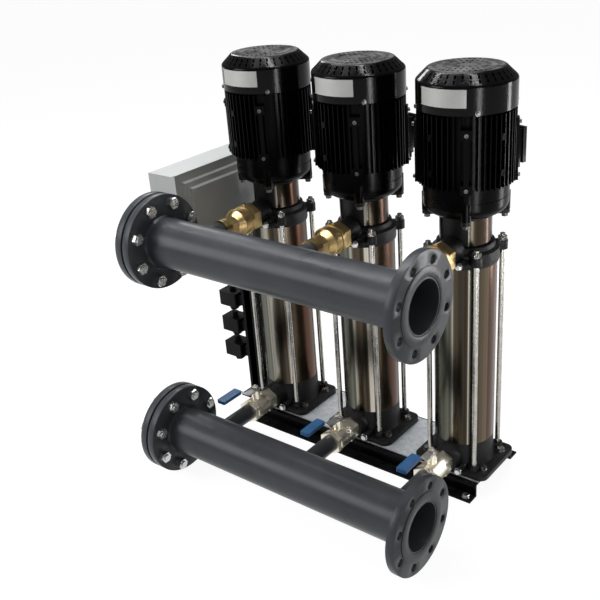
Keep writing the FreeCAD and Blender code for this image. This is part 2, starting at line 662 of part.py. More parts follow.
def terminal_box():
    """Cable box on the back of the motor, with its lid and a gland below."""
    top = motor_top - TERMINAL_TOP_DROP
    low = top - TERMINAL_HEIGHT
    half = TERMINAL_WIDTH / 2
    lid = terminal_reach - TERMINAL_LID
    body_half = half - TERMINAL_LID_LAP
    body_low = low + TERMINAL_LID_LAP
    body = box(-body_half, body_half, fin_radius / 2, lid, body_low, top - TERMINAL_LID_LAP)
    cover = box(-half, half, lid, terminal_reach, low, top)
    rims = [edge for edge in cover.Edges if edge.CenterOfMass.y > terminal_reach - 0.1]
    cover = cover.makeChamfer(TERMINAL_BEVEL, rims)
    gland_x = body_half - GLAND_INSET
    gland_y = lid - GLAND_INSET
    nut_length = GLAND_LENGTH / 2
    nut = hexagon(2 * GLAND_RADIUS, V(gland_x, gland_y, body_low - nut_length), V(0, 0, 1), nut_length + 1)
    gland = upright(GLAND_RADIUS - 3, body_low - GLAND_LENGTH, body_low + 1, gland_x, gland_y)
    seat = upright(fin_radius + MOTOR_RIB_RISE + SEAT_GAP, low - 1, top + 1)
    inset = TERMINAL_STAND_INSET
    pedestal = box(inset - half, half - inset, fin_root / 2, lid - 10, low + inset, top - inset)
    pockets = [along_y(MOTOR_PAD_RADIUS + SEAT_GAP, fin_root, fin_radius + MOTOR_PAD_RISE + SEAT_GAP,
                       0, motor_top - drop) for drop in MOTOR_PAD_DROPS]
    fins = upright(fin_radius + SEAT_GAP, low - 1, top + 1)
    pedestal = pedestal.cut(Part.makeCompound([fins] + pockets))
    return facing(fused([body.cut(seat), pedestal, cover, nut, gland]))


def pump_rotor():
    """Pump shaft with its stack of impellers."""
    low = deck_top + BASE_FLOOR + 1
    parts = [upright(PUMP_SHAFT_RADIUS, low, coupling_split)]
    pitch = (SLEEVE_LENGTH - 2 * STAGE_INSET) / (STAGES - 1)
    core = PUMP_SHAFT_RADIUS - 1
    for stage in range(STAGES):
        z = sleeve_bottom + STAGE_INSET + stage * pitch
        top = z + IMPELLER_THICKNESS
        hub_low = z - IMPELLER_HUB_LENGTH
        parts.append(turned([(core, hub_low), (IMPELLER_HUB_RADIUS, hub_low), (IMPELLER_HUB_RADIUS, z - 3),
                             (IMPELLER_RADIUS, z), (IMPELLER_RADIUS, top), (core, top)]))
    return fused(parts)


def shaft_coupling():
    """Split clamp coupling in two halves."""
    low = coupling_split - COUPLING_LENGTH / 2
    high = low + COUPLING_LENGTH
    body = upright(COUPLING_RADIUS, low, high)
    body = body.cut(upright(PUMP_SHAFT_RADIUS + RUNNING_GAP, low - 1, coupling_split + 1))
    body = body.cut(upright(MOTOR_SHAFT_RADIUS + RUNNING_GAP, coupling_split + 1, high + 1))
    reach = COUPLING_RADIUS + 1
    half = COUPLING_SPLIT / 2
    return [body.common(box(-reach, reach, half, reach, low - 1, high + 1)),
            body.common(box(-reach, reach, -reach, -half, low - 1, high + 1))]


def motor_rotor():
    """Motor shaft with its rotor core."""
    middle = (stool_top + motor_top) / 2
    low = coupling_split + SHAFT_END_GAP
    high = motor_top + FAN_SHAFT_LENGTH
    core = STATOR_LENGTH / 2
    return turned([(0, low), (MOTOR_SHAFT_RADIUS, low), (MOTOR_SHAFT_RADIUS, middle - core),
                   (STATOR_RADIUS - AIR_GAP, middle - core), (STATOR_RADIUS - AIR_GAP, middle + core),
                   (FAN_SHAFT_RADIUS, middle + core), (FAN_SHAFT_RADIUS, high), (0, high)])


def cooling_fan():
    """Radial fan on the top shaft end, seen through the cowl's slots."""
    low = motor_top + FAN_RISE
    high = low + FAN_BLADE_HEIGHT
    hub = upright(FAN_HUB_RADIUS, low, high)
    disc = upright(fan_radius, low, low + FAN_SHEET)
    blades = []
    for number in range(FAN_BLADES):
        blade = box(FAN_HUB_RADIUS - 2, fan_radius - 1, -FAN_SHEET / 2, FAN_SHEET / 2, low, high)
        blade.rotate(V(0, 0, 0), V(0, 0, 1), 360.0 / FAN_BLADES * number)
        blades.append(blade)
    return fused([disc, hub] + blades).cut(upright(FAN_SHAFT_RADIUS + RUNNING_GAP, low - 1, high + 1))


def suction_valve():
    """Ball valve body screwed into the suction port, with the manifold branch in its other end."""
    z = suction_port_height
    near = VALVE_CENTRE_Y + VALVE_HALF_LENGTH
    far = VALVE_CENTRE_Y - VALVE_HALF_LENGTH
    middle = along_y(VALVE_BODY_RADIUS, far + VALVE_END_LENGTH - 4, near - VALVE_END_LENGTH + 4, 0, z)
    ends = [hexagon(VALVE_END_FLATS, V(0, far, z), V(0, 1, 0), VALVE_END_LENGTH),
            hexagon(VALVE_END_FLATS, V(0, near - VALVE_END_LENGTH, z), V(0, 1, 0), VALVE_END_LENGTH)]
    nipple = hexagon(NIPPLE_FLATS, V(0, near, z), V(0, 1, 0), PORT_FACE_Y - near)
    tail = along_y(PORT_BORE_RADIUS - ROD_THREAD_PLAY, PORT_FACE_Y, PORT_FACE_Y + SOCKET_DEPTH, 0, z)
    bonnet = upright(BONNET_RADIUS, z, z + BONNET_HEIGHT, 0, VALVE_CENTRE_Y)
    body = fused([middle] + ends + [nipple, tail, bonnet])
    cavity = Part.makeSphere(BALL_RADIUS + RUNNING_GAP, V(0, VALVE_CENTRE_Y, z))
    bore = along_y(BALL_BORE_RADIUS, far, PORT_FACE_Y + SOCKET_DEPTH + 1, 0, z)
    socket = along_y(BRANCH_RADIUS + ROD_THREAD_PLAY, far - 1, far + SOCKET_DEPTH - 4, 0, z)
    stem_bore = upright(STEM_RADIUS + RUNNING_GAP, z, z + BONNET_HEIGHT + 1, 0, VALVE_CENTRE_Y)
    return body.cut(Part.makeCompound([cavity, bore, socket])).cut(stem_bore)


def valve_ball():
    """Drilled ball with the stem that turns it."""
    z = suction_port_height
    ball = Part.makeSphere(BALL_RADIUS, V(0, VALVE_CENTRE_Y, z))
    stem = upright(STEM_RADIUS, z + BALL_BORE_RADIUS + 2, z + STEM_HEIGHT, 0, VALVE_CENTRE_Y)
    bore = along_y(BALL_BORE_RADIUS, VALVE_CENTRE_Y - BALL_RADIUS - 1, VALVE_CENTRE_Y + BALL_RADIUS + 1, 0, z)
    return fused([ball.cut(bore), stem])


def valve_lever():
    """Cranked lever with its grip, in line with the pipe when open, and the nut that holds it on the stem."""
    z = suction_port_height + BONNET_HEIGHT + 1
    hub_end = VALVE_CENTRE_Y - LEVER_HUB_LENGTH
    crank_end = hub_end - LEVER_RISE
    tip = VALVE_CENTRE_Y - LEVER_LENGTH
    back = VALVE_CENTRE_Y + LEVER_WIDTH / 2
    rise = LEVER_RISE
    side = [(back, z), (hub_end, z), (crank_end, z + rise), (tip, z + rise), (tip, z + rise + LEVER_SHEET),
            (crank_end - 2, z + rise + LEVER_SHEET), (hub_end - 2, z + LEVER_SHEET), (back, z + LEVER_SHEET)]
    corners = [V(-LEVER_WIDTH / 2, y, h) for y, h in side]
    blade = Part.Face(Part.makePolygon(corners + corners[:1])).extrude(V(LEVER_WIDTH, 0, 0))
    half_grip = LEVER_WIDTH / 2 + GRIP_WALL
    grip = box(-half_grip, half_grip, tip - GRIP_WALL, crank_end - GRIP_INSET,
               z + rise - GRIP_WALL, z + rise + LEVER_SHEET + GRIP_WALL)
    ends = [edge for edge in grip.Edges if edge.Length < LEVER_SHEET + 2 * GRIP_WALL + 1]
    grip = grip.makeFillet(GRIP_ROUNDING, ends)
    lever = fused([blade, grip])
    lever = lever.cut(upright(STEM_RADIUS + RUNNING_GAP, z - 1, z + LEVER_SHEET + 1, 0, VALVE_CENTRE_Y))
    nut = hexagon(LEVER_NUT_FLATS, V(0, VALVE_CENTRE_Y, z + LEVER_SHEET), V(0, 0, 1), LEVER_NUT_HEIGHT)
    nut_top = z + LEVER_SHEET + LEVER_NUT_HEIGHT
    nut = nut.cut(upright(STEM_RADIUS + RUNNING_GAP, z, nut_top + 1, 0, VALVE_CENTRE_Y))
    return [lever, nut]


def check_valve():
    """Brass check valve: union nut on the discharge port, ribbed body, hexagon, and the branch's socket."""
    z = discharge_port_height
    nut_end = PORT_FACE_Y - UNION_NUT_LENGTH
    body_end = nut_end - CHECK_BODY_LENGTH
    neck_end = body_end - CHECK_NECK_LENGTH
    tail_end = neck_end - CHECK_TAIL_LENGTH
    nut = hexagon(UNION_NUT_FLATS, V(0, nut_end, z), V(0, 1, 0), UNION_NUT_LENGTH - SEAT_GAP)
    spigot = along_y(PORT_BORE_RADIUS - ROD_THREAD_PLAY, PORT_FACE_Y - 1, PORT_FACE_Y + SOCKET_DEPTH, 0, z)
    slope = CHECK_BODY_LENGTH / 3
    body = along_y(CHECK_BODY_RADIUS, body_end + slope, nut_end, 0, z)
    cone = Part.makeCone(CHECK_TAIL_RADIUS, CHECK_BODY_RADIUS, slope, V(0, body_end, z), V(0, 1, 0))
    rib_places = (nut_end - CHECK_RIB_LENGTH, body_end + slope)
    ribs = [along_y(CHECK_RIB_RADIUS, y, y + CHECK_RIB_LENGTH, 0, z) for y in rib_places]
    neck = hexagon(CHECK_NECK_FLATS, V(0, neck_end, z), V(0, 1, 0), CHECK_NECK_LENGTH)
    tail = along_y(CHECK_TAIL_RADIUS, tail_end, neck_end, 0, z)
    valve = fused([nut, spigot, body, cone, neck, tail] + ribs)
    bore = along_y(CHECK_BORE_RADIUS, tail_end, PORT_FACE_Y + SOCKET_DEPTH + 1, 0, z)
    seat = along_y(CHECK_BODY_RADIUS - 7, body_end + slope, nut_end - 5, 0, z)
    socket = along_y(BRANCH_RADIUS + ROD_THREAD_PLAY, tail_end - 1, tail_end + SOCKET_DEPTH, 0, z)
    return valve.cut(Part.makeCompound([bore, seat, socket]))


def bolt_circle(y, z):
    """Centres of the flange bolts, which straddle the centre lines."""
    step = 360.0 / FLANGE_BOLTS
    return [(y + BOLT_CIRCLE_RADIUS * math.cos(math.radians((k + 0.5) * step)),
             z + BOLT_CIRCLE_RADIUS * math.sin(math.radians((k + 0.5) * step))) for k in range(FLANGE_BOLTS)]


def flange(x, outward, y, z, hole_radius):
    """Flange disc whose raised face is at x and looks along outward, which is 1 or -1."""
    back = x - outward * FLANGE_THICKNESS
    step = x - outward * RAISED_FACE_HEIGHT
    disc = along_x(FLANGE_RADIUS, min(back, step), max(back, step), y, z)
    face = along_x(RAISED_FACE_RADIUS, min(step, x), max(step, x), y, z)
    holes = [along_x(hole_radius, min(back, x) - 1, max(back, x) + 1, hole_y, hole_z)
             for hole_y, hole_z in bolt_circle(y, z)]
    return fused([disc, face]).cut(Part.makeCompound(holes))


def manifold(y, z, branch_z, branch_end):
    """Pipe with a welded boss and branch for each pump, and a slip-on flange seated on a weld at each end."""
    pipe = along_x(PIPE_RADIUS, MANIFOLD_LEFT + 1, MANIFOLD_RIGHT - 1, y, z)
    boss_end = y + BRANCH_BOSS_REACH
    weld_places = ((MANIFOLD_LEFT + FLANGE_THICKNESS, 1), (MANIFOLD_RIGHT - FLANGE_THICKNESS, -1))
    welds = [Part.makeCone(PIPE_RADIUS + WELD_SIZE, PIPE_RADIUS, WELD_SIZE, V(x, y, z), V(direction, 0, 0))
             for x, direction in weld_places]
    bosses = [Part.makeCone(BRANCH_BOSS_RADIUS + BRANCH_BOSS_TAPER, BRANCH_BOSS_RADIUS, BRANCH_BOSS_REACH,
                            V(x, y, branch_z), V(0, 1, 0)) for _, x in pump_places]
    bores = [along_y(BRANCH_RADIUS - BRANCH_WALL, y + 10, branch_end + 1, x, branch_z)
             for _, x in pump_places]
    main = along_x(PIPE_RADIUS - PIPE_WALL, MANIFOLD_LEFT - 1, MANIFOLD_RIGHT + 1, y, z)
    body = fused([pipe] + welds + bosses).cut(Part.makeCompound([main] + bores))
    branches = [along_y(BRANCH_RADIUS, boss_end, branch_end, x, branch_z).cut(bore)
                for (_, x), bore in zip(pump_places, bores)]
    slip = along_x(PIPE_RADIUS + SLIP_ON_GAP, MANIFOLD_LEFT - 1, MANIFOLD_RIGHT + 1, y, z)
    flanges = [flange(x, outward, y, z, FLANGE_HOLE_RADIUS).cut(slip)
               for x, outward in ((MANIFOLD_RIGHT, 1), (MANIFOLD_LEFT, -1))]
    return [body] + branches + flanges


manifold_axes = [(-DISCHARGE_DISTANCE, discharge_height), (-SUCTION_DISTANCE, suction_height)]


def discharge_manifold():
    """Upper manifold."""
    tail_end = PORT_FACE_Y - UNION_NUT_LENGTH - CHECK_BODY_LENGTH - CHECK_NECK_LENGTH - CHECK_TAIL_LENGTH
    return manifold(-DISCHARGE_DISTANCE, discharge_height, discharge_port_height, tail_end + SOCKET_DEPTH)


def suction_manifold():
    """Lower manifold."""
    valve_end = VALVE_CENTRE_Y - VALVE_HALF_LENGTH
    return manifold(-SUCTION_DISTANCE, suction_height, suction_port_height, valve_end + SOCKET_DEPTH - 4)


def blind_flanges():
    """Cast blank flanges that close the left ends, drilled 1 mm wider than steel ones as castings are."""
    outer = MANIFOLD_LEFT - GASKET_THICKNESS
    return [flange(outer, 1, y, z, BLANK_HOLE_RADIUS) for y, z in manifold_axes]


def flange_gaskets():
    """Flat gaskets between the left flanges and their blanks."""
    outer = MANIFOLD_LEFT - GASKET_THICKNESS
    rings = []
    for y, z in manifold_axes:
        disc = along_x(RAISED_FACE_RADIUS, outer, MANIFOLD_LEFT, y, z)
        rings.append(disc.cut(along_x(PIPE_RADIUS, outer - 1, MANIFOLD_LEFT + 1, y, z)))
    return rings


def flange_bolts():
    """Bolts and nuts of the two blanked joints."""
    back = MANIFOLD_LEFT - GASKET_THICKNESS - FLANGE_THICKNESS
    front = MANIFOLD_LEFT + FLANGE_THICKNESS
    pieces = []
    for axis_y, axis_z in manifold_axes:
        for y, z in bolt_circle(axis_y, axis_z):
            head = hexagon(FLANGE_BOLT_FLATS, V(back - FLANGE_BOLT_HEAD, y, z), V(1, 0, 0), FLANGE_BOLT_HEAD)
            shank = along_x(FLANGE_BOLT_RADIUS, back, front + FLANGE_NUT_HEIGHT + FLANGE_BOLT_SPARE, y, z)
            nut = hexagon(FLANGE_BOLT_FLATS, V(front, y, z), V(1, 0, 0), FLANGE_NUT_HEIGHT)
            nut_end = front + FLANGE_NUT_HEIGHT
            bore = along_x(FLANGE_BOLT_RADIUS + ROD_THREAD_PLAY, front - 1, nut_end + 1, y, z)
            pieces += [fused([head, shank]), nut.cut(bore)]
    return pieces


def pump_fasteners():
    """Tie rods with their nuts, and the bolts of the pump feet."""
    pieces = []
    for _, x in pump_places:
        for sx, sy in corner_signs:
            rx, ry = x + sx * rod_offset, sy * rod_offset
            rod = upright(ROD_RADIUS, deck_top + 5, lug_top + ROD_SPARE, rx, ry)
            nut = hexagon(ROD_NUT_FLATS, V(rx, ry, lug_top), V(0, 0, 1), ROD_NUT_HEIGHT)
            bore = upright(ROD_RADIUS + ROD_THREAD_PLAY, lug_top - 1, lug_top + ROD_NUT_HEIGHT + 1, rx, ry)
            pieces += [rod, nut.cut(bore)]
            bx, by = x + sx * FOOT_BOLT_X, sy * FOOT_BOLT_Y
            washer = upright(FOOT_WASHER_RADIUS, foot_top, foot_top + FOOT_WASHER_THICKNESS, bx, by)
            washer_top = foot_top + FOOT_WASHER_THICKNESS
            head = hexagon(FOOT_BOLT_FLATS, V(bx, by, washer_top), V(0, 0, 1), FOOT_BOLT_HEAD)
            nut_low = FRAME_HEIGHT - FRAME_SHEET - FOOT_NUT_HEIGHT
            shank = upright(FOOT_BOLT_RADIUS, nut_low, foot_top + 1, bx, by)
            foot_nut = hexagon(FOOT_BOLT_FLATS, V(bx, by, nut_low), V(0, 0, 1), FOOT_NUT_HEIGHT)
            pieces.append(fused([washer, head, shank, foot_nut]))
    return pieces


def panel_stand():
    """Lipped channel post with a foot bolted to the frame end and a shelf under the control panel."""
    half = POST_SIZE / 2
    x0, x1 = POST_CENTRE_X - half, POST_CENTRE_X + half
    y0, y1 = POST_CENTRE_Y - half, POST_CENTRE_Y + half
    shelf_low = PANEL_BOTTOM - POST_PLATE
    post = box(x0, x1, y0, y1, 0, shelf_low)
    hollow = box(x0 + POST_WALL, x1 - POST_WALL, y0 + POST_WALL, y1 - POST_WALL, POST_PLATE, shelf_low + 1)
    mouth = box(x0 + POST_LIP, x1 - POST_LIP, y0 - 1, y0 + POST_WALL + 1, POST_PLATE, shelf_low + 1)
    post = post.cut(hollow).cut(mouth)
    foot = box(x0 - 20, x1 + 6, y0 - 20, y1 + 20, 0, POST_PLATE)
    link = box(x1 - 1, FRAME_LEFT, y0 + 4, y1 - 4, 0, FRAME_HEIGHT)
    shelf = box(PANEL_RIGHT - PANEL_DEPTH + 4, x1, y0 - 45, y1 + 45, shelf_low, PANEL_BOTTOM)
    gusset = [V(x0 + 1, POST_CENTRE_Y - 3, shelf_low), V(x0 - 55, POST_CENTRE_Y - 3, shelf_low),
              V(x0 - 55, POST_CENTRE_Y - 3, shelf_low - 6), V(x0 + 1, POST_CENTRE_Y - 3, shelf_low - 60)]
    web = Part.Face(Part.makePolygon(gusset + gusset[:1])).extrude(V(0, 6, 0))
    return fused([post, foot, link, shelf, web])


panel_left = PANEL_RIGHT - PANEL_DEPTH
panel_back = PANEL_FRONT + PANEL_WIDTH
panel_top = PANEL_BOTTOM + PANEL_HEIGHT
lock_y = PANEL_FRONT + LOCK_INSET
lock_z = (PANEL_BOTTOM + panel_top) / 2
hinge_x = panel_left - DOOR_GAP - HINGE_RADIUS / 2
hinge_y = panel_back + HINGE_RADIUS + DOOR_GAP


def panel_back_steps():
    """Raised steps pressed into the back of the case."""
    steps = []
    for number, inset in enumerate(PANEL_STEP_INSETS):
        x1 = PANEL_RIGHT + (number + 1) * PANEL_STEP_HEIGHT
        step = box(PANEL_RIGHT - 1, x1, PANEL_FRONT + inset, panel_back - inset,
                   PANEL_BOTTOM + inset, panel_top - inset)
        rims = [edge for edge in step.Edges if edge.CenterOfMass.x > x1 - 0.1]
        steps.append(step.makeChamfer(PANEL_STEP_BEVEL, rims))
    return steps


def panel_box():
    """Open-fronted case with a rim and a stepped back, the lips of its mouth and the fixed hinge halves."""
    case = box(panel_left, PANEL_RIGHT, PANEL_FRONT, panel_back, PANEL_BOTTOM, panel_top)
    rim = box(PANEL_RIGHT - PANEL_RIM_THICKNESS, PANEL_RIGHT, PANEL_FRONT - PANEL_RIM, panel_back + PANEL_RIM,
              PANEL_BOTTOM, panel_top + PANEL_RIM)
    cavity = box(panel_left - 1, PANEL_RIGHT - PANEL_WALL, PANEL_FRONT + PANEL_WALL, panel_back - PANEL_WALL,
                 PANEL_BOTTOM + PANEL_WALL, panel_top - PANEL_WALL)
    pieces = [fused([case, rim] + panel_back_steps()).cut(cavity)]
    for low in (PANEL_BOTTOM + HINGE_INSET, panel_top - HINGE_INSET - HINGE_LENGTH):
        knuckle = upright(HINGE_RADIUS, low, low + HINGE_LENGTH / 2, hinge_x, hinge_y)
        leaf = box(hinge_x, panel_left + 14, panel_back, panel_back + HINGE_LEAF, low, low + HINGE_LENGTH / 2)
        pin = upright(HINGE_PIN_RADIUS, low + HINGE_LENGTH / 2 - 1, low + HINGE_LENGTH - 1, hinge_x, hinge_y)
        pieces += [knuckle, leaf, pin]
    return [fused(pieces)] + panel_lips()


def panel_lips():
    """Four lips round the mouth of the case, each seated against its wall."""
    x0, x1 = panel_left, panel_left + PANEL_LIP_SHEET
    y0, y1 = PANEL_FRONT + PANEL_WALL, panel_back - PANEL_WALL
    z0, z1 = PANEL_BOTTOM + PANEL_WALL, panel_top - PANEL_WALL
    return [box(x0, x1, y0, y0 + PANEL_LIP, z0, z1), box(x0, x1, y1 - PANEL_LIP, y1, z0, z1),
            box(x0, x1, y0 + PANEL_LIP, y1 - PANEL_LIP, z0, z0 + PANEL_LIP),
            box(x0, x1, y0 + PANEL_LIP, y1 - PANEL_LIP, z1 - PANEL_LIP, z1)]


def panel_door():
    """Shallow bevelled door, hung on the two hinge pins."""
    x1 = panel_left - DOOR_GAP
    x0 = x1 - DOOR_DEPTH
    back = panel_back - DOOR_GAP
    outer = box(x0, x1, PANEL_FRONT, back, PANEL_BOTTOM, panel_top)
    rims = [edge for edge in outer.Edges if edge.CenterOfMass.x < x0 + 0.1]
    outer = outer.makeChamfer(DOOR_BEVEL, rims)
    inner = box(x0 + DOOR_WALL, x1 + 1, PANEL_FRONT + DOOR_WALL, back - DOOR_WALL,
                PANEL_BOTTOM + DOOR_WALL, panel_top - DOOR_WALL)
    inner_rims = [edge for edge in inner.Edges if edge.CenterOfMass.x < x0 + DOOR_WALL + 0.1]
    inner = inner.makeChamfer(DOOR_BEVEL, inner_rims)
    shell = outer.cut(inner)
    shell = shell.cut(along_x(LOCK_SPINDLE_RADIUS + RUNNING_GAP, x0 - 1, x0 + DOOR_WALL + 1, lock_y, lock_z))
    pieces = [shell]
    for low in (PANEL_BOTTOM + HINGE_INSET, panel_top - HINGE_INSET - HINGE_LENGTH):
        z0 = low + HINGE_LENGTH / 2 + SEAT_GAP
        z1 = low + HINGE_LENGTH
        knuckle = upright(HINGE_RADIUS, z0, z1, hinge_x, hinge_y)
        leaf = box(hinge_x - 8, hinge_x, back - 1, panel_back + HINGE_LEAF, z0, z1)
        bore = upright(HINGE_PIN_RADIUS + RUNNING_GAP, z0 - 1, z1 + 1, hinge_x, hinge_y)
        pieces.append(fused([knuckle, leaf]).cut(bore))
    return fused(pieces)


def door_lock():
    """Quarter-turn lock with its key bar outside and its tongue behind the case's lip when turned."""
    x0 = panel_left - DOOR_GAP - DOOR_DEPTH
    tongue_x = panel_left + PANEL_LIP_SHEET + LOCK_PLAY
    head = along_x(LOCK_RADIUS, x0 - 4, x0 - SEAT_GAP, lock_y, lock_z)
    key = box(x0 - 12, x0 - 3, lock_y - 2.5, lock_y + 2.5, lock_z - LOCK_RADIUS + 1, lock_z + LOCK_RADIUS - 1)
    spindle = along_x(LOCK_SPINDLE_RADIUS, x0 - 1, tongue_x + LOCK_SHEET, lock_y, lock_z)
    half = LOCK_TONGUE_WIDTH / 2
    tongue = box(tongue_x, tongue_x + LOCK_SHEET, lock_y - half, lock_y + half,
                 lock_z - half, lock_z + LOCK_TONGUE_LENGTH)
    return fused([head, key, spindle, tongue])


def panel_gear():
    """Mounting plate with a row of like switchgear modules, one for each pump."""
    plate_x = PANEL_RIGHT - PANEL_WALL
    face_x = plate_x - GEAR_PLATE_THICKNESS
    rail_x = face_x - GEAR_RAIL_DEPTH
    module_x = rail_x - GEAR_MODULE_DEPTH
    inset = GEAR_PLATE_INSET
    middle_z = (PANEL_BOTTOM + panel_top) / 2
    plate = box(face_x, plate_x, PANEL_FRONT + inset, panel_back - inset,
                PANEL_BOTTOM + inset, panel_top - inset)
    rail = box(rail_x, face_x, PANEL_FRONT + 1.5 * inset, panel_back - 1.5 * inset,
               middle_z - GEAR_RAIL_HEIGHT / 2, middle_z + GEAR_RAIL_HEIGHT / 2)
    pieces = [fused([plate, rail])]
    pitch = (PANEL_WIDTH - 3 * inset) / len(PUMP_NAMES)
    half = GEAR_MODULE_WIDTH / 2
    nose = half - GEAR_NOSE_INSET
    for index in range(len(PUMP_NAMES)):
        y = PANEL_FRONT + 1.5 * inset + (index + 0.5) * pitch
        body = box(module_x, rail_x, y - half, y + half,
                   middle_z - GEAR_MODULE_HEIGHT / 2, middle_z + GEAR_MODULE_HEIGHT / 2)
        front = box(module_x - GEAR_NOSE_DEPTH, module_x + 1, y - nose, y + nose,
                    middle_z - GEAR_NOSE_HEIGHT / 2, middle_z + GEAR_NOSE_HEIGHT / 2)
        pieces.append(fused([body, front]))
    return pieces


def pressure_switches():
    """Pressure switches one above the other on the post, each with its bracket, inlet and cable gland."""
    x1 = POST_CENTRE_X - POST_SIZE / 2
    body_x1 = x1 - SWITCH_BRACKET
    body_x0 = body_x1 - SWITCH_LENGTH
    middle_x = (body_x0 + body_x1) / 2
    half = SWITCH_WIDTH / 2
    pieces = []
    for index in range(SWITCH_COUNT):
        top = SWITCH_TOP - index * SWITCH_PITCH
        low = top - SWITCH_HEIGHT
        body = box(body_x0, body_x1, POST_CENTRE_Y - half, POST_CENTRE_Y + half, low, top)
        body = body.makeFillet(4, [edge for edge in body.Edges if edge.Length < SWITCH_HEIGHT + 1])
        bracket = box(body_x1 - 1, x1, POST_CENTRE_Y - half / 2, POST_CENTRE_Y + half / 2, low + 6, top - 6)
        inlet = hexagon(SWITCH_INLET_FLATS, V(middle_x, POST_CENTRE_Y, low - SWITCH_INLET_LENGTH), V(0, 0, 1),
                        SWITCH_INLET_LENGTH + 1)
        gland = upright(SWITCH_GLAND_RADIUS, top - 1, top + SWITCH_GLAND_LENGTH, middle_x, POST_CENTRE_Y)
        pieces.append(fused([body, bracket, inlet, gland]))
    return pieces


def export(node, shapes):
    """Write one node to its STEP file."""
    shape = Part.makeCompound(shapes) if isinstance(shapes, list) else shapes
    for solid in shape.Solids:
        if not solid.isValid() or solid.Volume <= 0:
            raise RuntimeError("bad solid in " + node)
    print(node, len(shape.Solids), round(shape.Volume / 1000, 1), "cm3")
    shape.exportStep(os.path.join("parts", node + ".step"))


PUMP_PIECES = {
    "pump_base": pump_base, "outer_sleeve": outer_sleeve, "pump_head": pump_head, "motor_stool": motor_stool,
    "motor_frame": motor_frame, "fan_cowl": fan_cowl, "terminal_box": terminal_box, "pump_rotor": pump_rotor,
    "shaft_coupling": shaft_coupling, "motor_rotor": motor_rotor, "cooling_fan": cooling_fan,
    "suction_valve": suction_valve, "valve_ball": valve_ball, "valve_lever": valve_lever,
    "check_valve": check_valve,
}
SHARED_PIECES = {
    "base_frame": base_frame, "deck_plate": deck_plate, "discharge_manifold": discharge_manifold,
    "suction_manifold": suction_manifold, "blind_flanges": blind_flanges, "flange_gaskets": flange_gaskets,
    "flange_bolts": flange_bolts, "pump_fasteners": pump_fasteners, "panel_stand": panel_stand,
    "panel_box": panel_box, "panel_door": panel_door, "door_lock": door_lock, "panel_gear": panel_gear,
    "pressure_switches": pressure_switches,
}


def main():
    os.makedirs("parts", exist_ok=True)
    for node, make in PUMP_PIECES.items():
        made = make()
        shapes = made if isinstance(made, list) else [made]
        for name, x in pump_places:
            export(node + "_" + name, [moved(shape, x) for shape in shapes])
    guards = coupling_guards()
    export("coupling_guards", [moved(guard, x) for _, x in pump_places for guard in guards])
    for node, make in SHARED_PIECES.items():
        export(node, make())


main()
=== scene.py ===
"""Booster pump set, finished for its pictures.

The packed model gives every piece at its real size. This file gives each of them its finish, adds the small
fittings that the model leaves out, and sets up the floor, the lights and the camera.
"""
import json
import math

import bmesh
import bpy
from mathutils import Matrix, Vector


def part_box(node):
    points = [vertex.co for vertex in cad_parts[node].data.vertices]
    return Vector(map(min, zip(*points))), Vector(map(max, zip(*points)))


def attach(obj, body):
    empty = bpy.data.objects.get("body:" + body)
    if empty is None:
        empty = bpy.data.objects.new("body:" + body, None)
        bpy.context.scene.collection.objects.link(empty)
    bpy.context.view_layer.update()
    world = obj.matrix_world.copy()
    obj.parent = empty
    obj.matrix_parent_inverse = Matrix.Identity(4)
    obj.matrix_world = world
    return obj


bl_info = {
    "name": "Booster Pump Set",
    "version": (1, 0, 0),
    "blender": (4, 5, 0),
    "location": "3D View > Sidebar > Pump Set",
    "description": "Finishes, small fittings, floor, lights and camera for a booster pump set",
    "category": "Object",
}

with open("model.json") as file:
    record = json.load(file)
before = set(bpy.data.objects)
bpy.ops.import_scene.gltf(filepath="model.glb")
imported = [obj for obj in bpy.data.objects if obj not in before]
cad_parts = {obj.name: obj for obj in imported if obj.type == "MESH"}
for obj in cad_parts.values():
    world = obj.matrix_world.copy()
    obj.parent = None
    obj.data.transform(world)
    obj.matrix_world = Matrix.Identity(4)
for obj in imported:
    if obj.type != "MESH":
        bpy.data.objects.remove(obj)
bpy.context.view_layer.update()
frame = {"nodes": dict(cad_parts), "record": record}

SIDES = ("left", "middle", "right")
CORNERS = ((-1, -1), (1, -1), (1, 1), (-1, 1))
MOTION_BODY = "set"
ROD_PITCH = 0.00175
ROD_THREAD_LENGTH = 0.017
LEVER_BARE_LENGTH = 0.074


def box_of(node):
    """Low corner, high corner and middle of a packed node."""
    low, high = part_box(node)
    return low, high, (low + high) / 2


def pump_axis(side):
    """X of a pump's axis. The sleeve is round, so its middle is the axis."""
    return box_of("outer_sleeve_" + side)[2].x


PUMP_PITCH = pump_axis("right") - pump_axis("middle")


# Settings

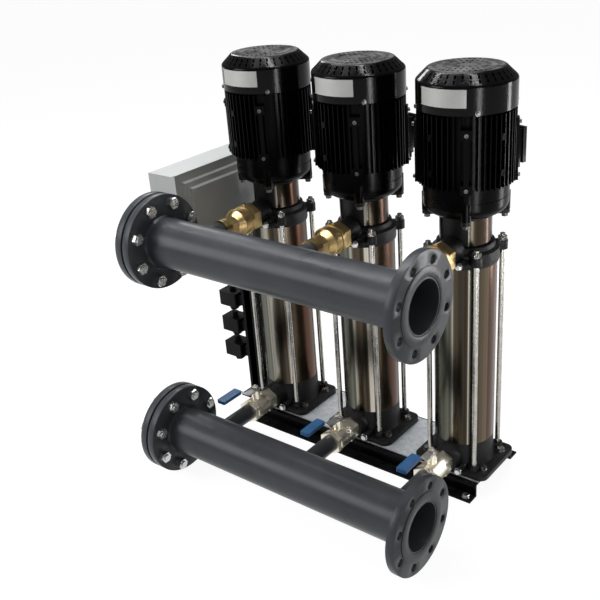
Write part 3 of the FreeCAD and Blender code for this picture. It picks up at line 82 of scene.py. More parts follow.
class PUMPSET_PG_finish(bpy.types.PropertyGroup):
    """Colours of the finishes."""
    enamel: bpy.props.FloatVectorProperty(
        name="Enamel", description="Black enamel of the motors", subtype="COLOR", size=3, min=0, max=1,
        default=(0.0022, 0.0022, 0.0025))
    casting: bpy.props.FloatVectorProperty(
        name="Casting", description="Painted castings of the pumps", subtype="COLOR", size=3, min=0, max=1,
        default=(0.004, 0.004, 0.0045))
    pipe: bpy.props.FloatVectorProperty(
        name="Pipe", description="Satin paint of the manifolds", subtype="COLOR", size=3, min=0, max=1,
        default=(0.078, 0.084, 0.094))
    # This colour is the brightest band of the painted reflections on the polished sleeves and guards.
    steel: bpy.props.FloatVectorProperty(
        name="Polished steel", description="Bright tone of the polished sleeves", subtype="COLOR", size=3,
        min=0, max=1, default=(0.62, 0.58, 0.5))
    brass: bpy.props.FloatVectorProperty(
        name="Brass", description="Check valves", subtype="COLOR", size=3, min=0, max=1,
        default=(0.56, 0.41, 0.19))
    nickel: bpy.props.FloatVectorProperty(
        name="Nickel", description="Ball valve bodies", subtype="COLOR", size=3, min=0, max=1,
        default=(0.92, 0.86, 0.72))
    grip: bpy.props.FloatVectorProperty(
        name="Grip", description="Sleeves of the valve levers", subtype="COLOR", size=3, min=0, max=1,
        default=(0.035, 0.17, 0.42))
    panel: bpy.props.FloatVectorProperty(
        name="Panel", description="Powder coat of the control panel", subtype="COLOR", size=3, min=0, max=1,
        default=(0.62, 0.64, 0.63))


class PUMPSET_PG_fittings(bpy.types.PropertyGroup):
    """Sizes of the small fittings."""
    plate_width: bpy.props.FloatProperty(
        name="Plate width", description="Width of a rating plate round the cowl",
        default=0.106, min=0.02, unit="LENGTH")
    plate_height: bpy.props.FloatProperty(
        name="Plate height", description="Height of a rating plate", default=0.036, min=0.01, unit="LENGTH")
    plate_lift: bpy.props.FloatProperty(
        name="Plate lift", description="Height of a rating plate's foot above the cowl's lower edge",
        default=0.016, min=0.0, unit="LENGTH")
    plate_thickness: bpy.props.FloatProperty(
        name="Plate thickness", description="Thickness of a rating plate", default=0.0008, min=0.0002,
        unit="LENGTH")
    plate_rim: bpy.props.FloatProperty(
        name="Plate rim", description="Width of the bright rim of a rating plate", default=0.0028, min=0.0005,
        unit="LENGTH")
    rivet_inset: bpy.props.FloatProperty(
        name="Rivet inset", description="Distance of a rivet from the edges of its plate", default=0.0014,
        min=0.0, unit="LENGTH")
    bead_radius: bpy.props.FloatProperty(
        name="Bead radius", description="Thickness of the weld beads at the branches",
        default=0.0026, min=0.001, unit="LENGTH")
    branch_radius: bpy.props.FloatProperty(
        name="Branch radius", description="Outer radius of a branch, which its weld bead runs round",
        default=0.0215, min=0.001, unit="LENGTH")
    valve_axis: bpy.props.FloatProperty(
        name="Valve axis", description="Height of a ball valve's bore above its lowest point",
        default=0.0312, min=0.0, unit="LENGTH")
    screw_radius: bpy.props.FloatProperty(
        name="Screw radius", description="Head radius of the small cover screws",
        default=0.0042, min=0.001, unit="LENGTH")
    lug_drop: bpy.props.FloatProperty(
        name="Lug drop", description="Depth of the upper lug screws below the cowl's edge",
        default=0.0375, min=0.0, unit="LENGTH")
    lug_lift: bpy.props.FloatProperty(
        name="Lug lift", description="Height of the lower lug screws above the motor's foot",
        default=0.0745, min=0.0, unit="LENGTH")
    stool_bolt_circle: bpy.props.FloatProperty(
        name="Stool bolt circle", description="Radius of the circle of bolts under a motor's foot",
        default=0.083, min=0.01, unit="LENGTH")
    stool_ear: bpy.props.FloatProperty(
        name="Stool ear", description="Thickness of the stool's ears, which the bolts hang under",
        default=0.009, min=0.0, unit="LENGTH")
    lid_screw_reach: bpy.props.FloatProperty(
        name="Lid screw reach", description="Distance of a cable box lid's sunk screws from the cowl's side",
        default=0.033, min=0.0, unit="LENGTH")
    lid_screw_half_width: bpy.props.FloatProperty(
        name="Lid screw half width", description="Half the spacing of a lid's screws", default=0.033, min=0.0,
        unit="LENGTH")
    lid_screw_drops: bpy.props.FloatVectorProperty(
        name="Lid screw drops", description="Depths of a lid's screws below the top of the cable box", size=2,
        default=(0.0095, 0.0685), min=0.0, unit="LENGTH")
    boss_reach: bpy.props.FloatProperty(
        name="Boss reach", description="Distance from a manifold's axis to the bead at the end of its bosses",
        default=0.074, min=0.01, unit="LENGTH")
    motor_turn: bpy.props.FloatProperty(
        name="Motor turn", description="Turn of the motors about their axes", default=math.radians(-16.0),
        unit="ROTATION")
    plug_flats: bpy.props.FloatProperty(
        name="Plug flats", description="Width across flats of the vent and drain plugs",
        default=0.013, min=0.005, unit="LENGTH")
    plug_place: bpy.props.FloatVectorProperty(
        name="Plug place", description="Place of a plug's boss from the pump's axis, in X and Y", size=2,
        default=(0.034, -0.088), unit="LENGTH")
    plug_lifts: bpy.props.FloatVectorProperty(
        name="Plug lifts", description="Height of a plug above the foot of the base and of the head", size=2,
        default=(0.016, 0.024), min=0.0, unit="LENGTH")
    anchor_flats: bpy.props.FloatProperty(
        name="Anchor flats", description="Width across flats of the anchor bolt heads",
        default=0.015, min=0.005, unit="LENGTH")
    anchor_washer: bpy.props.FloatProperty(
        name="Anchor washer", description="Thickness of the washers under the anchor bolts",
        default=0.0016, min=0.0, unit="LENGTH")
    sheet_thickness: bpy.props.FloatProperty(
        name="Sheet thickness", description="Thickness of the base frame's sheet under the anchor bolts",
        default=0.004, min=0.0, unit="LENGTH")


class PUMPSET_PG_stage(bpy.types.PropertyGroup):
    """Place, direction and lens of the camera."""
    camera_place: bpy.props.FloatVectorProperty(
        name="Camera place", description="Where the camera stands", subtype="TRANSLATION", size=3,
        default=(1.164, -1.6207, 1.333))
    camera_turn: bpy.props.FloatProperty(
        name="Camera turn", description="Direction of view from +Y towards -X",
        default=math.radians(39.10), unit="ROTATION")
    camera_dip: bpy.props.FloatProperty(
        name="Camera dip", description="Downward tilt of the view",
        default=math.radians(25.02), unit="ROTATION")
    camera_roll: bpy.props.FloatProperty(
        name="Camera roll", description="Roll of the camera about its view",
        default=math.radians(-3.93), unit="ROTATION")
    focal_length: bpy.props.FloatProperty(
        name="Focal length", description="Focal length in millimetres for a 36 mm wide image",
        default=53.43, min=10)
    sideways_shift: bpy.props.FloatProperty(
        name="Sideways shift", description="Shift of the image as a share of its width", default=-20 / 600)


# Small helpers

def put_node(tree, kind, inputs=None, **settings):
    """Adds a shader node. Inputs are sockets to link from, or plain values."""
    made = tree.nodes.new(kind)
    for name, value in settings.items():
        setattr(made, name, value)
    for name, value in (inputs or {}).items():
        if isinstance(value, bpy.types.NodeSocket):
            tree.links.new(value, made.inputs[name])
        else:
            made.inputs[name].default_value = value
    return made


def colour_ramp(tree, fac, stops):
    """Colour ramp over a value, from (place, colour) stops."""
    ramp = put_node(tree, "ShaderNodeValToRGB", {"Fac": fac})
    while len(ramp.color_ramp.elements) < len(stops):
        ramp.color_ramp.elements.new(0.5)
    for element, (place, colour) in zip(ramp.color_ramp.elements, stops):
        element.position = place
        element.color = (*colour, 1)
    return ramp.outputs["Color"]


def math_node(tree, operation, first, second=None):
    """Maths on one or two values or sockets."""
    inputs = {0: first}
    if second is not None:
        inputs[1] = second
    return put_node(tree, "ShaderNodeMath", inputs, operation=operation).outputs[0]


def mix_colours(tree, fac, first, second):
    """Blend of two colours by a value."""
    made = put_node(tree, "ShaderNodeMix", data_type="RGBA")
    for index, value in ((0, fac), (6, first), (7, second)):
        if isinstance(value, bpy.types.NodeSocket):
            tree.links.new(value, made.inputs[index])
        else:
            made.inputs[index].default_value = value if index == 0 or len(value) == 4 else (*value, 1)
    return made.outputs[2]


def scaled(colour, share):
    """Colour made darker or lighter by a share."""
    return tuple(min(channel * share, 1) for channel in colour)


# Shared shader groups

def new_group(name, inputs, outputs):
    """Shader group with named sockets, given as (name, kind, default)."""
    group = bpy.data.node_groups.new(name, "ShaderNodeTree")
    for label, kind, default in inputs:
        socket = group.interface.new_socket(name=label, in_out="INPUT", socket_type=kind)
        if default is not None:
            socket.default_value = default
    for label, kind in outputs:
        group.interface.new_socket(name=label, in_out="OUTPUT", socket_type=kind)
    return group, group.nodes.new("NodeGroupInput"), group.nodes.new("NodeGroupOutput")


def make_grain_group():
    """Fine surface relief with slow patches of gloss."""
    group, given, result = new_group(
        "Fine grain",
        [("Vector", "NodeSocketVector", None), ("Scale", "NodeSocketFloat", 400.0),
         ("Patches", "NodeSocketFloat", 9.0)],
        [("Height", "NodeSocketFloat"), ("Patch", "NodeSocketFloat")])
    fine = put_node(group, "ShaderNodeTexNoise",
                    {"Vector": given.outputs["Vector"], "Scale": given.outputs["Scale"], "Detail": 4.0})
    slow = put_node(group, "ShaderNodeTexNoise",
                    {"Vector": given.outputs["Vector"], "Scale": given.outputs["Patches"], "Detail": 5.0,
                     "Roughness": 0.6})
    spread = put_node(group, "ShaderNodeMapRange",
                      {"Value": slow.outputs[0], "From Min": 0.3, "From Max": 0.7})
    group.links.new(fine.outputs[0], result.inputs["Height"])
    group.links.new(spread.outputs[0], result.inputs["Patch"])
    return group


def make_cast_group():
    """Skin of a sand casting under paint: soft lumps with small pits."""
    group, given, result = new_group(
        "Cast skin",
        [("Vector", "NodeSocketVector", None), ("Scale", "NodeSocketFloat", 160.0)],
        [("Height", "NodeSocketFloat"), ("Pits", "NodeSocketFloat")])
    lumps = put_node(group, "ShaderNodeTexNoise",
                     {"Vector": given.outputs["Vector"], "Scale": given.outputs["Scale"], "Detail": 3.0})
    finer = math_node(group, "MULTIPLY", given.outputs["Scale"], 3.0)
    cells = put_node(group, "ShaderNodeTexVoronoi", {"Vector": given.outputs["Vector"], "Scale": finer})
    pits = put_node(group, "ShaderNodeMapRange",
                    {"Value": cells.outputs["Distance"], "From Min": 0.0, "From Max": 0.35})
    height = math_node(group, "MULTIPLY", lumps.outputs[0], pits.outputs[0])
    group.links.new(height, result.inputs["Height"])
    group.links.new(pits.outputs[0], result.inputs["Pits"])
    return group


def make_round_group():
    """Angle about the nearest pump's axis, for a pattern that runs round it."""
    group, given, result = new_group(
        "Round the pump axis",
        [("Vector", "NodeSocketVector", None)],
        [("Angle", "NodeSocketFloat"), ("Bands", "NodeSocketVector")])
    parts = put_node(group, "ShaderNodeSeparateXYZ", {"Vector": given.outputs["Vector"]})
    wrapped = put_node(group, "ShaderNodeMath",
                       {0: parts.outputs["X"], 1: PUMP_PITCH / 2, 2: -PUMP_PITCH / 2}, operation="WRAP")
    angle = math_node(group, "ARCTAN2", parts.outputs["Y"], wrapped.outputs[0])
    share = math_node(group, "DIVIDE", angle, math.tau)
    pump = math_node(group, "ROUND", math_node(group, "DIVIDE", parts.outputs["X"], PUMP_PITCH))
    bands = put_node(group, "ShaderNodeCombineXYZ",
                     {"X": math_node(group, "COSINE", angle), "Y": math_node(group, "SINE", angle),
                      "Z": pump})
    group.links.new(share, result.inputs["Angle"])
    group.links.new(bands.outputs[0], result.inputs["Bands"])
    return group


def make_dust_and_sheen_group():
    """Dust that settles on faces that look up, broken up by noise."""
    group, given, result = new_group(
        "Dust and painted sheen",
        [("Vector", "NodeSocketVector", None), ("Normal", "NodeSocketVector", None),
         ("Amount", "NodeSocketFloat", 0.5), ("Steepest", "NodeSocketFloat", 0.35)],
        [("Mask", "NodeSocketFloat")])
    up = put_node(group, "ShaderNodeSeparateXYZ", {"Vector": given.outputs["Normal"]})
    facing = put_node(group, "ShaderNodeMapRange",
                      {"Value": up.outputs["Z"], "From Min": given.outputs["Steepest"], "From Max": 0.98})
    noise = put_node(group, "ShaderNodeTexNoise",
                     {"Vector": given.outputs["Vector"], "Scale": 28.0, "Detail": 6.0})
    broken = put_node(group, "ShaderNodeMapRange",
                      {"Value": noise.outputs[0], "From Min": 0.25, "From Max": 0.75})
    settled = math_node(group, "MULTIPLY", facing.outputs[0], broken.outputs[0])
    group.links.new(math_node(group, "MULTIPLY", settled, given.outputs["Amount"]), result.inputs["Mask"])
    return group


def shared_group(name):
    """A shared group by name, made when it is first asked for."""
    makers = {"Fine grain": make_grain_group, "Cast skin": make_cast_group,
              "Round the pump axis": make_round_group, "Dust and painted sheen": make_dust_and_sheen_group}
    return bpy.data.node_groups.get(name) or makers[name]()


def put_group(tree, name, inputs):
    """Places a shared group in a material."""
    made = tree.nodes.new("ShaderNodeGroup")
    made.node_tree = shared_group(name)
    for label, value in inputs.items():
        if isinstance(value, bpy.types.NodeSocket):
            tree.links.new(value, made.inputs[label])
        else:
            made.inputs[label].default_value = value
    return made


# Materials

def new_material(name, **sockets):
    """Material with a Principled shader, its tree, the shader and its Object coordinates."""
    material = bpy.data.materials.new(name)
    material.use_nodes = True
    tree = material.node_tree
    tree.nodes.clear()
    shader = put_node(tree, "ShaderNodeBsdfPrincipled")
    put_node(tree, "ShaderNodeOutputMaterial", {"Surface": shader.outputs[0]})
    for label, value in sockets.items():
        shader.inputs[label.replace("_", " ").title().replace("Ior", "IOR")].default_value = value
    coordinates = put_node(tree, "ShaderNodeTexCoord").outputs["Object"]
    return material, tree, shader, coordinates


def link_surface(tree, shader, tone, dullness, limits, height, depth):
    """Feeds a shader its colour, a roughness spread between two limits, and a relief of a given depth."""
    spread = put_node(tree, "ShaderNodeMapRange",
                      {"Value": dullness, "To Min": limits[0], "To Max": limits[1]})
    bump = put_node(tree, "ShaderNodeBump", {"Height": height, "Distance": depth, "Strength": 1.0})
    tree.links.new(tone, shader.inputs["Base Color"])
    tree.links.new(spread.outputs[0], shader.inputs["Roughness"])
    tree.links.new(bump.outputs[0], shader.inputs["Normal"])


def add_dust_and_sheen(tree, coordinates, colour, dust_and_sheen_colour, amount, steepest=0.35):
    """Colour with dust on the faces that look up."""
    normal = put_node(tree, "ShaderNodeNewGeometry").outputs["Normal"]
    dust_and_sheen = put_group(tree, "Dust and painted sheen",
                     {"Vector": coordinates, "Normal": normal, "Amount": amount, "Steepest": steepest})
    return mix_colours(tree, dust_and_sheen.outputs["Mask"], colour, dust_and_sheen_colour), dust_and_sheen.outputs["Mask"]


def enamel_material(name, colour, dust_and_sheen, steepest=0.35, specular=0.06, gloss=(0.16, 0.32)):
    """Gloss black enamel with orange peel, and a light film of dust on what looks up."""
    material, tree, shader, coordinates = new_material(name, specular_ior_level=specular)
    grain = put_group(tree, "Fine grain", {"Vector": coordinates, "Scale": 260.0, "Patches": 11.0})
    tone = mix_colours(tree, grain.outputs["Patch"], scaled(colour, 0.7), scaled(colour, 1.5))
    # Paler film on what looks up, partly painted sheen on the cowl tops.
    base, mask = add_dust_and_sheen(tree, coordinates, tone, (0.33, 0.33, 0.33), dust_and_sheen, steepest)
    dullness = math_node(tree, "ADD", grain.outputs["Patch"], mask)
    link_surface(tree, shader, base, dullness, gloss, grain.outputs["Height"], 0.0002)
    return material


def casting_material(name, colour):
    """Painted casting with a lumpy skin."""
    material, tree, shader, coordinates = new_material(name, specular_ior_level=0.2)
    skin = put_group(tree, "Cast skin", {"Vector": coordinates, "Scale": 210.0})
    tone = mix_colours(tree, skin.outputs["Pits"], scaled(colour, 0.5), scaled(colour, 1.4))
    base, mask = add_dust_and_sheen(tree, coordinates, tone, (0.12, 0.115, 0.11), 0.14)
    dullness = math_node(tree, "ADD", skin.outputs["Pits"], mask)
    link_surface(tree, shader, base, dullness, (0.26, 0.46), skin.outputs["Height"], 0.0006)
    return material


def pipe_material(name, colour):
    """Satin grey paint, sprayed, with slow changes of tone along the pipe."""
    material, tree, shader, coordinates = new_material(name, specular_ior_level=0.18)
    grain = put_group(tree, "Fine grain", {"Vector": coordinates, "Scale": 520.0, "Patches": 7.0})
    tone = mix_colours(tree, grain.outputs["Patch"], scaled(colour, 0.86), scaled(colour, 1.14))
    base, mask = add_dust_and_sheen(tree, coordinates, tone, (0.2, 0.2, 0.2), 0.12)
    dullness = math_node(tree, "ADD", grain.outputs["Patch"], mask)
    link_surface(tree, shader, base, dullness, (0.26, 0.36), grain.outputs["Height"], 0.00012)
    return material


def polished_material(name, colour, share=1.0):
    """Polished stainless steel whose tone runs in upright bands, as the sheet reflects its surroundings."""
    material, tree, shader, coordinates = new_material(name, metallic=1.0)
    round_axis = put_group(tree, "Round the pump axis", {"Vector": coordinates})
    drift = put_node(tree, "ShaderNodeTexNoise",
                     {"Vector": round_axis.outputs["Bands"], "Scale": 2.2, "Detail": 8.0, "Roughness": 0.68})
    shifted = math_node(tree, "ADD", round_axis.outputs["Angle"], 0.36)
    wandering = math_node(tree, "ADD", shifted, math_node(tree, "MULTIPLY", drift.outputs[0], 0.2))
    # Colours of the painted reflection bands, standing in for olive, brown, reddish and dark surroundings;
    # the bright stops are painted highlight lines.
    olive, brown = (0.062, 0.064, 0.05), (0.085, 0.066, 0.046)
    reddish_reflection, dark = (0.068, 0.036, 0.024), (0.026, 0.024, 0.018)
    bands = [
        (0.0, dark), (0.04, scaled(colour, 0.5)), (0.06, dark), (0.10, (0.035, 0.036, 0.028)), (0.14, olive),
        (0.18, scaled(olive, 2.0)), (0.20, olive), (0.225, scaled(colour, 0.55)), (0.25, brown), (0.28, dark),
        (0.30, brown), (0.318, colour), (0.33, scaled(olive, 0.8)), (0.37, brown), (0.40, scaled(brown, 1.6)),
        (0.42, reddish_reflection), (0.48, scaled(reddish_reflection, 1.2)), (0.52, scaled(reddish_reflection, 0.7)), (0.545, colour), (0.57, dark),
        (0.62, brown), (0.66, scaled(olive, 1.5)), (0.69, dark), (0.74, scaled(colour, 0.4)), (0.78, reddish_reflection),
        (0.85, olive), (0.88, scaled(colour, 0.7)), (0.91, brown), (1.0, dark)]
    # share scales every painted reflection band together.
    stops = [(place, scaled(band, share)) for place, band in bands]
    tone = colour_ramp(tree, math_node(tree, "FRACT", wandering), stops)
    stretch = put_node(tree, "ShaderNodeMapping", {"Vector": coordinates, "Scale": (1.0, 1.0, 60.0)})
    brushing = put_node(tree, "ShaderNodeTexNoise",
                        {"Vector": stretch.outputs[0], "Scale": 30.0, "Detail": 5.0})
    link_surface(tree, shader, tone, brushing.outputs[0], (0.16, 0.3), brushing.outputs[0], 0.00003)
    return material


def plain_metal_material(name, colour, roughness, brushing_scale=220.0, stain=0.7, metallic=1.0):
    """Machined or plated metal with fine marks and slow stains."""
    material, tree, shader, coordinates = new_material(name, metallic=metallic)
    grain = put_group(tree, "Fine grain", {"Vector": coordinates, "Scale": brushing_scale, "Patches": 35.0})
    tone = mix_colours(tree, grain.outputs["Patch"], scaled(colour, stain), colour)
    link_surface(tree, shader, tone, grain.outputs["Patch"], roughness, grain.outputs["Height"], 0.00015)
    return material


def threaded_material(name, colour, roughness, pitch, thread_bottom, thread_top):
    """Plated steel with a screw thread between two heights, as on the ends of the tie rods."""
    material, tree, shader, coordinates = new_material(name, metallic=1.0)
    grain = put_group(tree, "Fine grain", {"Vector": coordinates, "Scale": 220.0, "Patches": 35.0})
    tone = mix_colours(tree, grain.outputs["Patch"], scaled(colour, 0.7), colour)
    height = put_node(tree, "ShaderNodeSeparateXYZ", {"Vector": coordinates}).outputs["Z"]
    above = math_node(tree, "GREATER_THAN", height, thread_bottom)
    below = math_node(tree, "LESS_THAN", height, thread_top)
    wave = math_node(tree, "SINE", math_node(tree, "MULTIPLY", height, math.tau / pitch))
    thread = math_node(tree, "MULTIPLY", wave, math_node(tree, "MULTIPLY", above, below))
    relief = math_node(tree, "ADD", thread, math_node(tree, "MULTIPLY", grain.outputs["Height"], 0.05))
    link_surface(tree, shader, tone, grain.outputs["Patch"], roughness, relief, 0.0004)
    return material


def brass_material(name, colour):
    """Cast brass with a rougher skin and darker stains in its hollows."""
    material, tree, shader, coordinates = new_material(name, metallic=1.0)
    skin = put_group(tree, "Cast skin", {"Vector": coordinates, "Scale": 260.0})
    grain = put_group(tree, "Fine grain", {"Vector": coordinates, "Scale": 300.0, "Patches": 40.0})
    tone = mix_colours(tree, grain.outputs["Patch"], scaled(colour, 0.62), colour)
    link_surface(tree, shader, tone, skin.outputs["Pits"], (0.44, 0.3), skin.outputs["Height"], 0.0004)
    return material


def galvanised_material(name):
    """Hot-dip zinc with its spangle."""
    material, tree, shader, coordinates = new_material(name, metallic=0.15)
    spangle = put_node(tree, "ShaderNodeTexVoronoi", {"Vector": coordinates, "Scale": 95.0})
    shade = put_node(tree, "ShaderNodeSeparateColor", {"Color": spangle.outputs["Color"]})
    tone = mix_colours(tree, shade.outputs[0], (0.72, 0.76, 0.8), (0.9, 0.94, 0.98))
    link_surface(tree, shader, tone, shade.outputs[1], (0.32, 0.55), shade.outputs[2], 0.00005)
    return material


def powder_material(name, colour):
    """Powder coat with a fine texture."""
    material, tree, shader, coordinates = new_material(name)
    grain = put_group(tree, "Fine grain", {"Vector": coordinates, "Scale": 900.0, "Patches": 6.0})
    tone = mix_colours(tree, grain.outputs["Patch"], scaled(colour, 0.95), scaled(colour, 1.03))
    link_surface(tree, shader, tone, grain.outputs["Patch"], (0.42, 0.55), grain.outputs["Height"], 0.0002)
    return material


def moulded_material(name, colour, roughness=(0.4, 0.55), specular=0.2):
    """Moulded plastic or rubber with a spark-eroded grain."""
    material, tree, shader, coordinates = new_material(name, specular_ior_level=specular)
    grain = put_group(tree, "Fine grain", {"Vector": coordinates, "Scale": 1100.0, "Patches": 18.0})
    tone = mix_colours(tree, grain.outputs["Patch"], scaled(colour, 0.85), scaled(colour, 1.15))
    link_surface(tree, shader, tone, grain.outputs["Patch"], roughness, grain.outputs["Height"], 0.00015)
    return material


def lever_material(name, grip_colour, grip_start):
    """Plated lever whose outer stretch, past grip_start along -Y, is a dipped blue sleeve."""
    material, tree, shader, coordinates = new_material(name)
    place = put_node(tree, "ShaderNodeSeparateXYZ", {"Vector": coordinates})
    mask = math_node(tree, "LESS_THAN", place.outputs["Y"], grip_start)
    grain = put_group(tree, "Fine grain", {"Vector": coordinates, "Scale": 420.0, "Patches": 30.0})
    blue = mix_colours(tree, grain.outputs["Patch"], scaled(grip_colour, 0.8), scaled(grip_colour, 1.2))
    zinc = mix_colours(tree, grain.outputs["Patch"], (0.45, 0.45, 0.44), (0.66, 0.66, 0.65))
    tone = mix_colours(tree, mask, zinc, blue)
    tree.links.new(math_node(tree, "SUBTRACT", 1.0, mask), shader.inputs["Metallic"])
    link_surface(tree, shader, tone, mask, (0.3, 0.42), grain.outputs["Height"], 0.00015)
    return material


# Meshes

def add_piece(name, mesh_maker, material):
    """Object at the origin, riding on the set, from a function that fills a bmesh."""
    mesh = bpy.data.meshes.new(name)
    work = bmesh.new()
    mesh_maker(work)
    bmesh.ops.recalc_face_normals(work, faces=work.faces)
    for face in work.faces:
        face.smooth = True
    work.to_mesh(mesh)
    work.free()
    piece = bpy.data.objects.new(name, mesh)
    bpy.context.scene.collection.objects.link(piece)
    piece.data.materials.append(material)
    soften(piece)
    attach(piece, MOTION_BODY)
    return piece


def soften(piece, width=0.0):
    """Smooth shading up to the edges, which are rounded if a width is given."""
    if width > 0:
        rounding = piece.modifiers.new("Rounded edges", "BEVEL")
        rounding.width = width
        rounding.segments = 2
        rounding.limit_method = "ANGLE"
        rounding.angle_limit = math.radians(35)
    split = piece.modifiers.new("Crisp edges", "EDGE_SPLIT")
    split.split_angle = math.radians(32)


def finish_node(node, material, bevel=0.0):
    """Gives a packed node its material and smooth shading."""
    piece = frame["nodes"][node]
    piece.data.materials.clear()
    piece.data.materials.append(material)
    piece.data.polygons.foreach_set("use_smooth", [True] * len(piece.data.polygons))
    weld = piece.modifiers.new("Joined corners", "WELD")
    weld.merge_threshold = 0.000002
    soften(piece, bevel)


def add_disc(work, centre, direction, radius, height, segments=32):
    """Round disc that stands on centre and points along direction. Returns its faces."""
    turn = Vector((0, 0, 1)).rotation_difference(Vector(direction)).to_matrix().to_4x4()
    place = Matrix.Translation(Vector(centre) + Vector(direction) * height / 2) @ turn
    made = bmesh.ops.create_cone(work, cap_ends=True, segments=segments, radius1=radius, radius2=radius,
                                 depth=height, matrix=place)
    faces = list({face for vert in made["verts"] for face in vert.link_faces})
    for face in faces:
        face.normal_update()
    return faces


def faces_along(faces, direction):
    """The faces that look along a direction."""
    return [face for face in faces if face.normal.dot(Vector(direction)) > 0.9]


def add_hexagon(work, centre, direction, flats, height):
    """Hexagonal head with a chamfered top, standing on centre."""
    made = add_disc(work, centre, direction, flats / math.sqrt(3), height, 6)
    rim = [edge for face in faces_along(made, direction) for edge in face.edges]
    bmesh.ops.bevel(work, geom=rim, offset=height * 0.12, offset_type="OFFSET", segments=1, profile=0.5,
                    affect="EDGES", material=-1)


def add_pan_screw(work, centre, direction, radius):
    """Pan head on its washer face, standing on centre."""
    add_disc(work, centre, direction, radius * 1.25, radius * 0.2, 24)
    head_foot = Vector(centre) + Vector(direction) * radius * 0.2
    made = add_disc(work, head_foot, direction, radius, radius * 0.6, 24)
    top = faces_along(made, direction)
    bmesh.ops.inset_region(work, faces=top, thickness=radius * 0.3, depth=radius * 0.12)


def add_socket_screw(work, centre, direction, radius):
    """Cap screw with a sunk socket, standing on centre."""
    made = add_disc(work, centre, direction, radius, radius * 1.1, 24)
    top = faces_along(made, direction)
    bmesh.ops.inset_region(work, faces=top, thickness=radius * 0.42)
    bmesh.ops.inset_region(work, faces=top, thickness=radius * 0.02, depth=-radius * 0.6)


def add_bead(work, centre, radius, thickness):
    """Round weld bead about a line along Y."""
    turn = Matrix.Rotation(math.pi / 2, 4, "Y")
    place = Matrix.Translation(Vector(centre) + Vector((0, 0, radius))) @ turn
    ring = bmesh.ops.create_circle(work, cap_ends=False, segments=10, radius=thickness, matrix=place)
    edges = list({edge for vert in ring["verts"] for edge in vert.link_edges})
    bmesh.ops.spin(work, geom=ring["verts"] + edges, cent=centre, axis=(0, 1, 0), angle=math.tau, steps=64,
                   use_merge=True)


# Operators

class PUMPSET_OT_motors(bpy.types.Operator):
    """Finish the motors: frames, cowls, terminal boxes, stools and fans."""
    bl_idname = "pumpset.motors"
    bl_label = "Motors"

    def execute(self, context):
        finish = context.scene.pumpset_finish
        enamel = enamel_material("motor_enamel", finish.enamel, 0.04)
        # Cowls: a lighter copy of the enamel, with a full share of the paler film, mostly painted sheen, on
        # their flat tops.
        cowl = enamel_material("cowl_enamel", scaled(finish.enamel, 2.0), 1.0, 0.9, 0.11, (0.1, 0.19))
        cast = casting_material("pump_casting", finish.casting)
        plastic = moulded_material("fan_plastic", (0.02, 0.02, 0.022))
        for side in SIDES:
            finish_node("motor_frame_" + side, enamel)
            finish_node("fan_cowl_" + side, cowl)
            finish_node("terminal_box_" + side, enamel, 0.0008)
            finish_node("motor_stool_" + side, cast, 0.001)
            finish_node("cooling_fan_" + side, plastic)
            finish_node("pump_base_" + side, cast, 0.0012)
            finish_node("pump_head_" + side, cast, 0.0012)
        return {"FINISHED"}


class PUMPSET_OT_steel(bpy.types.Operator):
    """Finish the polished sleeves and guards, the shafts and all fasteners."""
    bl_idname = "pumpset.steel"
    bl_label = "Sleeves, Shafts and Fasteners"

    def execute(self, context):
        finish = context.scene.pumpset_finish
        polished = polished_material("polished_steel_painted_reflections", finish.steel)
        ground = plain_metal_material("ground_steel", (0.55, 0.55, 0.54), (0.22, 0.36))
        zinc = plain_metal_material("zinc_plate", (0.66, 0.66, 0.65), (0.2, 0.34))
        for side in SIDES:
            finish_node("outer_sleeve_" + side, polished)
            for kind in ("pump_rotor_", "shaft_coupling_", "motor_rotor_"):
                finish_node(kind + side, ground)
        # The guards take the sleeves' painted reflections at under half their brightness, as darker painted
        # reflections.
        finish_node("coupling_guards", polished_material("guard_steel_painted_reflections", finish.steel, 0.45))
        rod_top = box_of("pump_fasteners")[1].z
        threaded = threaded_material("threaded_zinc", (0.47, 0.46, 0.43), (0.2, 0.34), ROD_PITCH,
                                     rod_top - ROD_THREAD_LENGTH, rod_top)
        finish_node("pump_fasteners", threaded)
        finish_node("flange_bolts", zinc)
        return {"FINISHED"}


class PUMPSET_OT_manifolds(bpy.types.Operator):
    """Finish the manifolds, blind flanges, gaskets and valves."""
    bl_idname = "pumpset.manifolds"
    bl_label = "Manifolds and Valves"

    def execute(self, context):
        finish = context.scene.pumpset_finish
        paint = pipe_material("manifold_paint", finish.pipe)
        gasket = moulded_material("gasket_sheet", (0.03, 0.03, 0.03), (0.6, 0.75))
        nickel = plain_metal_material("nickel_plate", finish.nickel, (0.24, 0.42), 260.0, 0.82)
        brass = brass_material("cast_brass", finish.brass)
        for node in ("discharge_manifold", "suction_manifold", "blind_flanges"):
            finish_node(node, paint, 0.001)
        finish_node("flange_gaskets", gasket)
        grip_start = box_of("valve_lever_middle")[1].y - LEVER_BARE_LENGTH
        lever = lever_material("lever_finish", finish.grip, grip_start)
        for side in SIDES:
            finish_node("suction_valve_" + side, nickel)
            finish_node("valve_ball_" + side, nickel)
            finish_node("valve_lever_" + side, lever)
            finish_node("check_valve_" + side, brass)
        return {"FINISHED"}


class PUMPSET_OT_base(bpy.types.Operator):
    """Finish the base frame and the deck plate."""
    bl_idname = "pumpset.base"
    bl_label = "Base Frame"

    def execute(self, context):
        finish = context.scene.pumpset_finish
        finish_node("base_frame", enamel_material("frame_enamel", scaled(finish.enamel, 1.5), 0.05))
        finish_node("deck_plate", galvanised_material("galvanised_sheet"))
        return {"FINISHED"}


